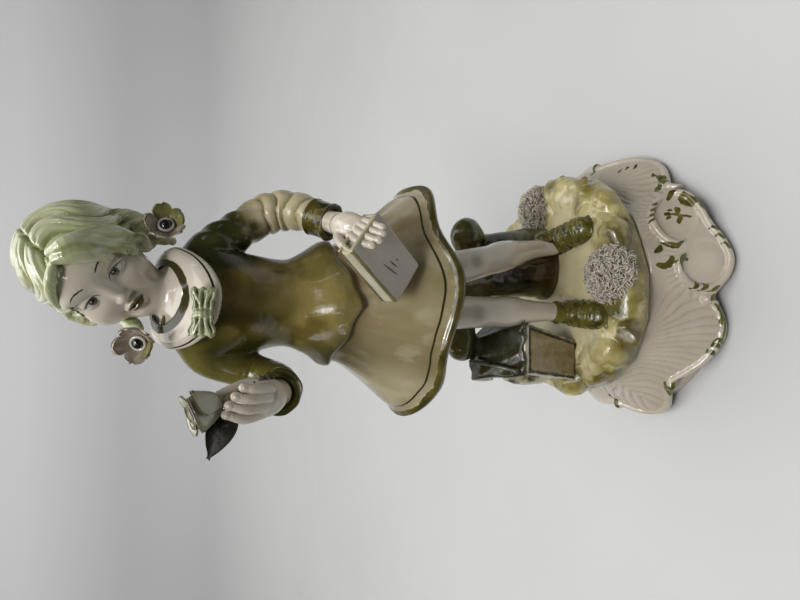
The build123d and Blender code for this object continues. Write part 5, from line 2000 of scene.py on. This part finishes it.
def place_camera():
    """Held in front of her, above head height, tipped down and turned on its side."""
    tip = math.radians(25)
    right = Vector((0, -math.sin(tip), -math.cos(tip)))
    back = Vector((0, -math.cos(tip), math.sin(tip)))
    turned = Matrix((right, Vector((1, 0, 0)), back)).transposed().to_4x4()
    data = bpy.data.cameras.new("camera")
    data.lens = 26
    data.sensor_width = 36
    thing = bpy.data.objects.new("camera", data)
    thing.matrix_world = Matrix.Translation((-0.0105, -0.274, 0.287)) @ turned
    bpy.context.scene.collection.objects.link(thing)
    bpy.context.scene.camera = thing


# ---------------------------------------------------------------- build everything
# each row: name of the piece, what builds it, the nodes it stands for, its slot, its glaze
PIECES = [
    ("jacket_cloth", build_jacket, ["jacket", "right_sleeve", "left_sleeve", "left_forearm_sleeve"],
        "jacket_glaze", jacket_glaze),
    ("plinth", build_plinth, ["base"], "plinth_white", plinth_glaze),
    ("hair_locks", build_hair, ["hair", "right_bunch", "left_bunch"], "hair_glaze", hair_glaze),
    ("ground", build_mound, ["ground_mound"], "ground_glaze", mound_glaze),
    ("head_face", build_head, ["head"], "skin_porcelain", head_glaze),
    ("stump", build_stump, ["tree_stump"], "stump_glaze", stump_glaze),
    ("satchel", build_satchel, ["satchel_body"], "satchel_glaze", satchel_glaze),
    ("satchel_cover", build_flap, ["satchel_flap"], "flap_glaze", flap_glaze),
    ("leg_right", build_right_leg, ["right_leg"], "skin_porcelain", skin_glaze),
    ("leg_left", build_left_leg, ["left_leg"], "skin_porcelain", skin_glaze),
    ("shoe_right", lambda: build_shoe("right_shoe"), ["right_shoe"], "shoe_glaze", shoe_glaze),
    ("shoe_left", lambda: build_shoe("left_shoe"), ["left_shoe"], "shoe_glaze", shoe_glaze),
    ("hand_right", build_right_hand, ["right_hand"], "skin_porcelain", skin_glaze),
    ("hand_left", build_left_hand, ["left_hand"], "skin_porcelain", skin_glaze),
    ("skirt_cloth", build_skirt, ["skirt"], "skirt_glaze", skirt_glaze),
    ("collar_ring", build_collar, ["collar"], "collar_white", collar_glaze),
    ("bow_ribbon", build_bow, ["bow_knot", "bow_right_loop", "bow_left_loop"], "bow_glaze", bow_glaze),
    ("cuff_right", build_right_cuff, ["right_cuff"], "cuff_glaze", cuff_glaze),
    ("cuff_left", build_left_cuff, ["left_cuff"], "cuff_glaze", cuff_glaze),
    ("book_boards", lambda: build_book(boards), ["book_cover"], "cover_white", cover_glaze),
    ("book_leaves", lambda: build_book(pages), ["book_pages"], "page_cream", page_glaze),
    ("petals_right", lambda: build_flower("right", (3,), 30, (6.6, 6.8, 5.6, 4.4, 6.2)),
        ["right_flower_petals"], "petal_glaze", petal_glaze),
    ("petals_left", lambda: build_flower("left", (0, 4), 12, (6.2, 6.2, 6.4, 6.4, 5.4)),
        ["left_flower_petals"], "petal_glaze", petal_glaze),
    ("cup_right", lambda: build_cup("right"), ["right_flower_cup"], "cup_white", cup_glaze),
    ("cup_left", lambda: build_cup("left"), ["left_flower_cup"], "cup_white", cup_glaze),
    ("eye_right", lambda: build_eye("right"), ["right_flower_eye"], "eye_black", eye_glaze),
    ("eye_left", lambda: build_eye("left"), ["left_flower_eye"], "eye_black", eye_glaze),
    ("rose_outer", build_rose_petals, ["rose_petals"], "rose_cream", rose_glaze),
    ("rose_inner", build_rose_heart, ["rose_heart"], "rose_cream", rose_glaze),
    ("rose_stalk", build_stem, ["rose_stem"], "leaf_glaze", stem_glaze),
    ("rose_blade", build_leaf, ["rose_leaf"], "leaf_glaze", leaf_glaze),
    ("tuft_front", lambda: build_tuft("front_tuft", 1200, 61, (0, -5.0, -1.0), (0.86, 1.0, 1.5)),
        ["front_tuft"], "tuft_bisque", tuft_glaze),
    ("tuft_back", lambda: build_tuft("back_tuft", 850, 62, (0, 0, 0), (0.92, 0.95, 1.25)), ["back_tuft"],
        "tuft_bisque", tuft_glaze),
]


def build_pieces():
    with ThreadPoolExecutor(4) as pool:
        results = list(pool.map(lambda row: row[1](), PIECES))
    made = {}
    for (name, _, nodes, slot, glaze), (points, faces, values) in zip(PIECES, results):
        if glaze not in made:
            made[glaze] = glaze()
        finish_piece(mesh_object(name, points, faces, values), nodes, slot, made[glaze])


build_pieces()
stage_sheet()
light_stage()
place_camera()
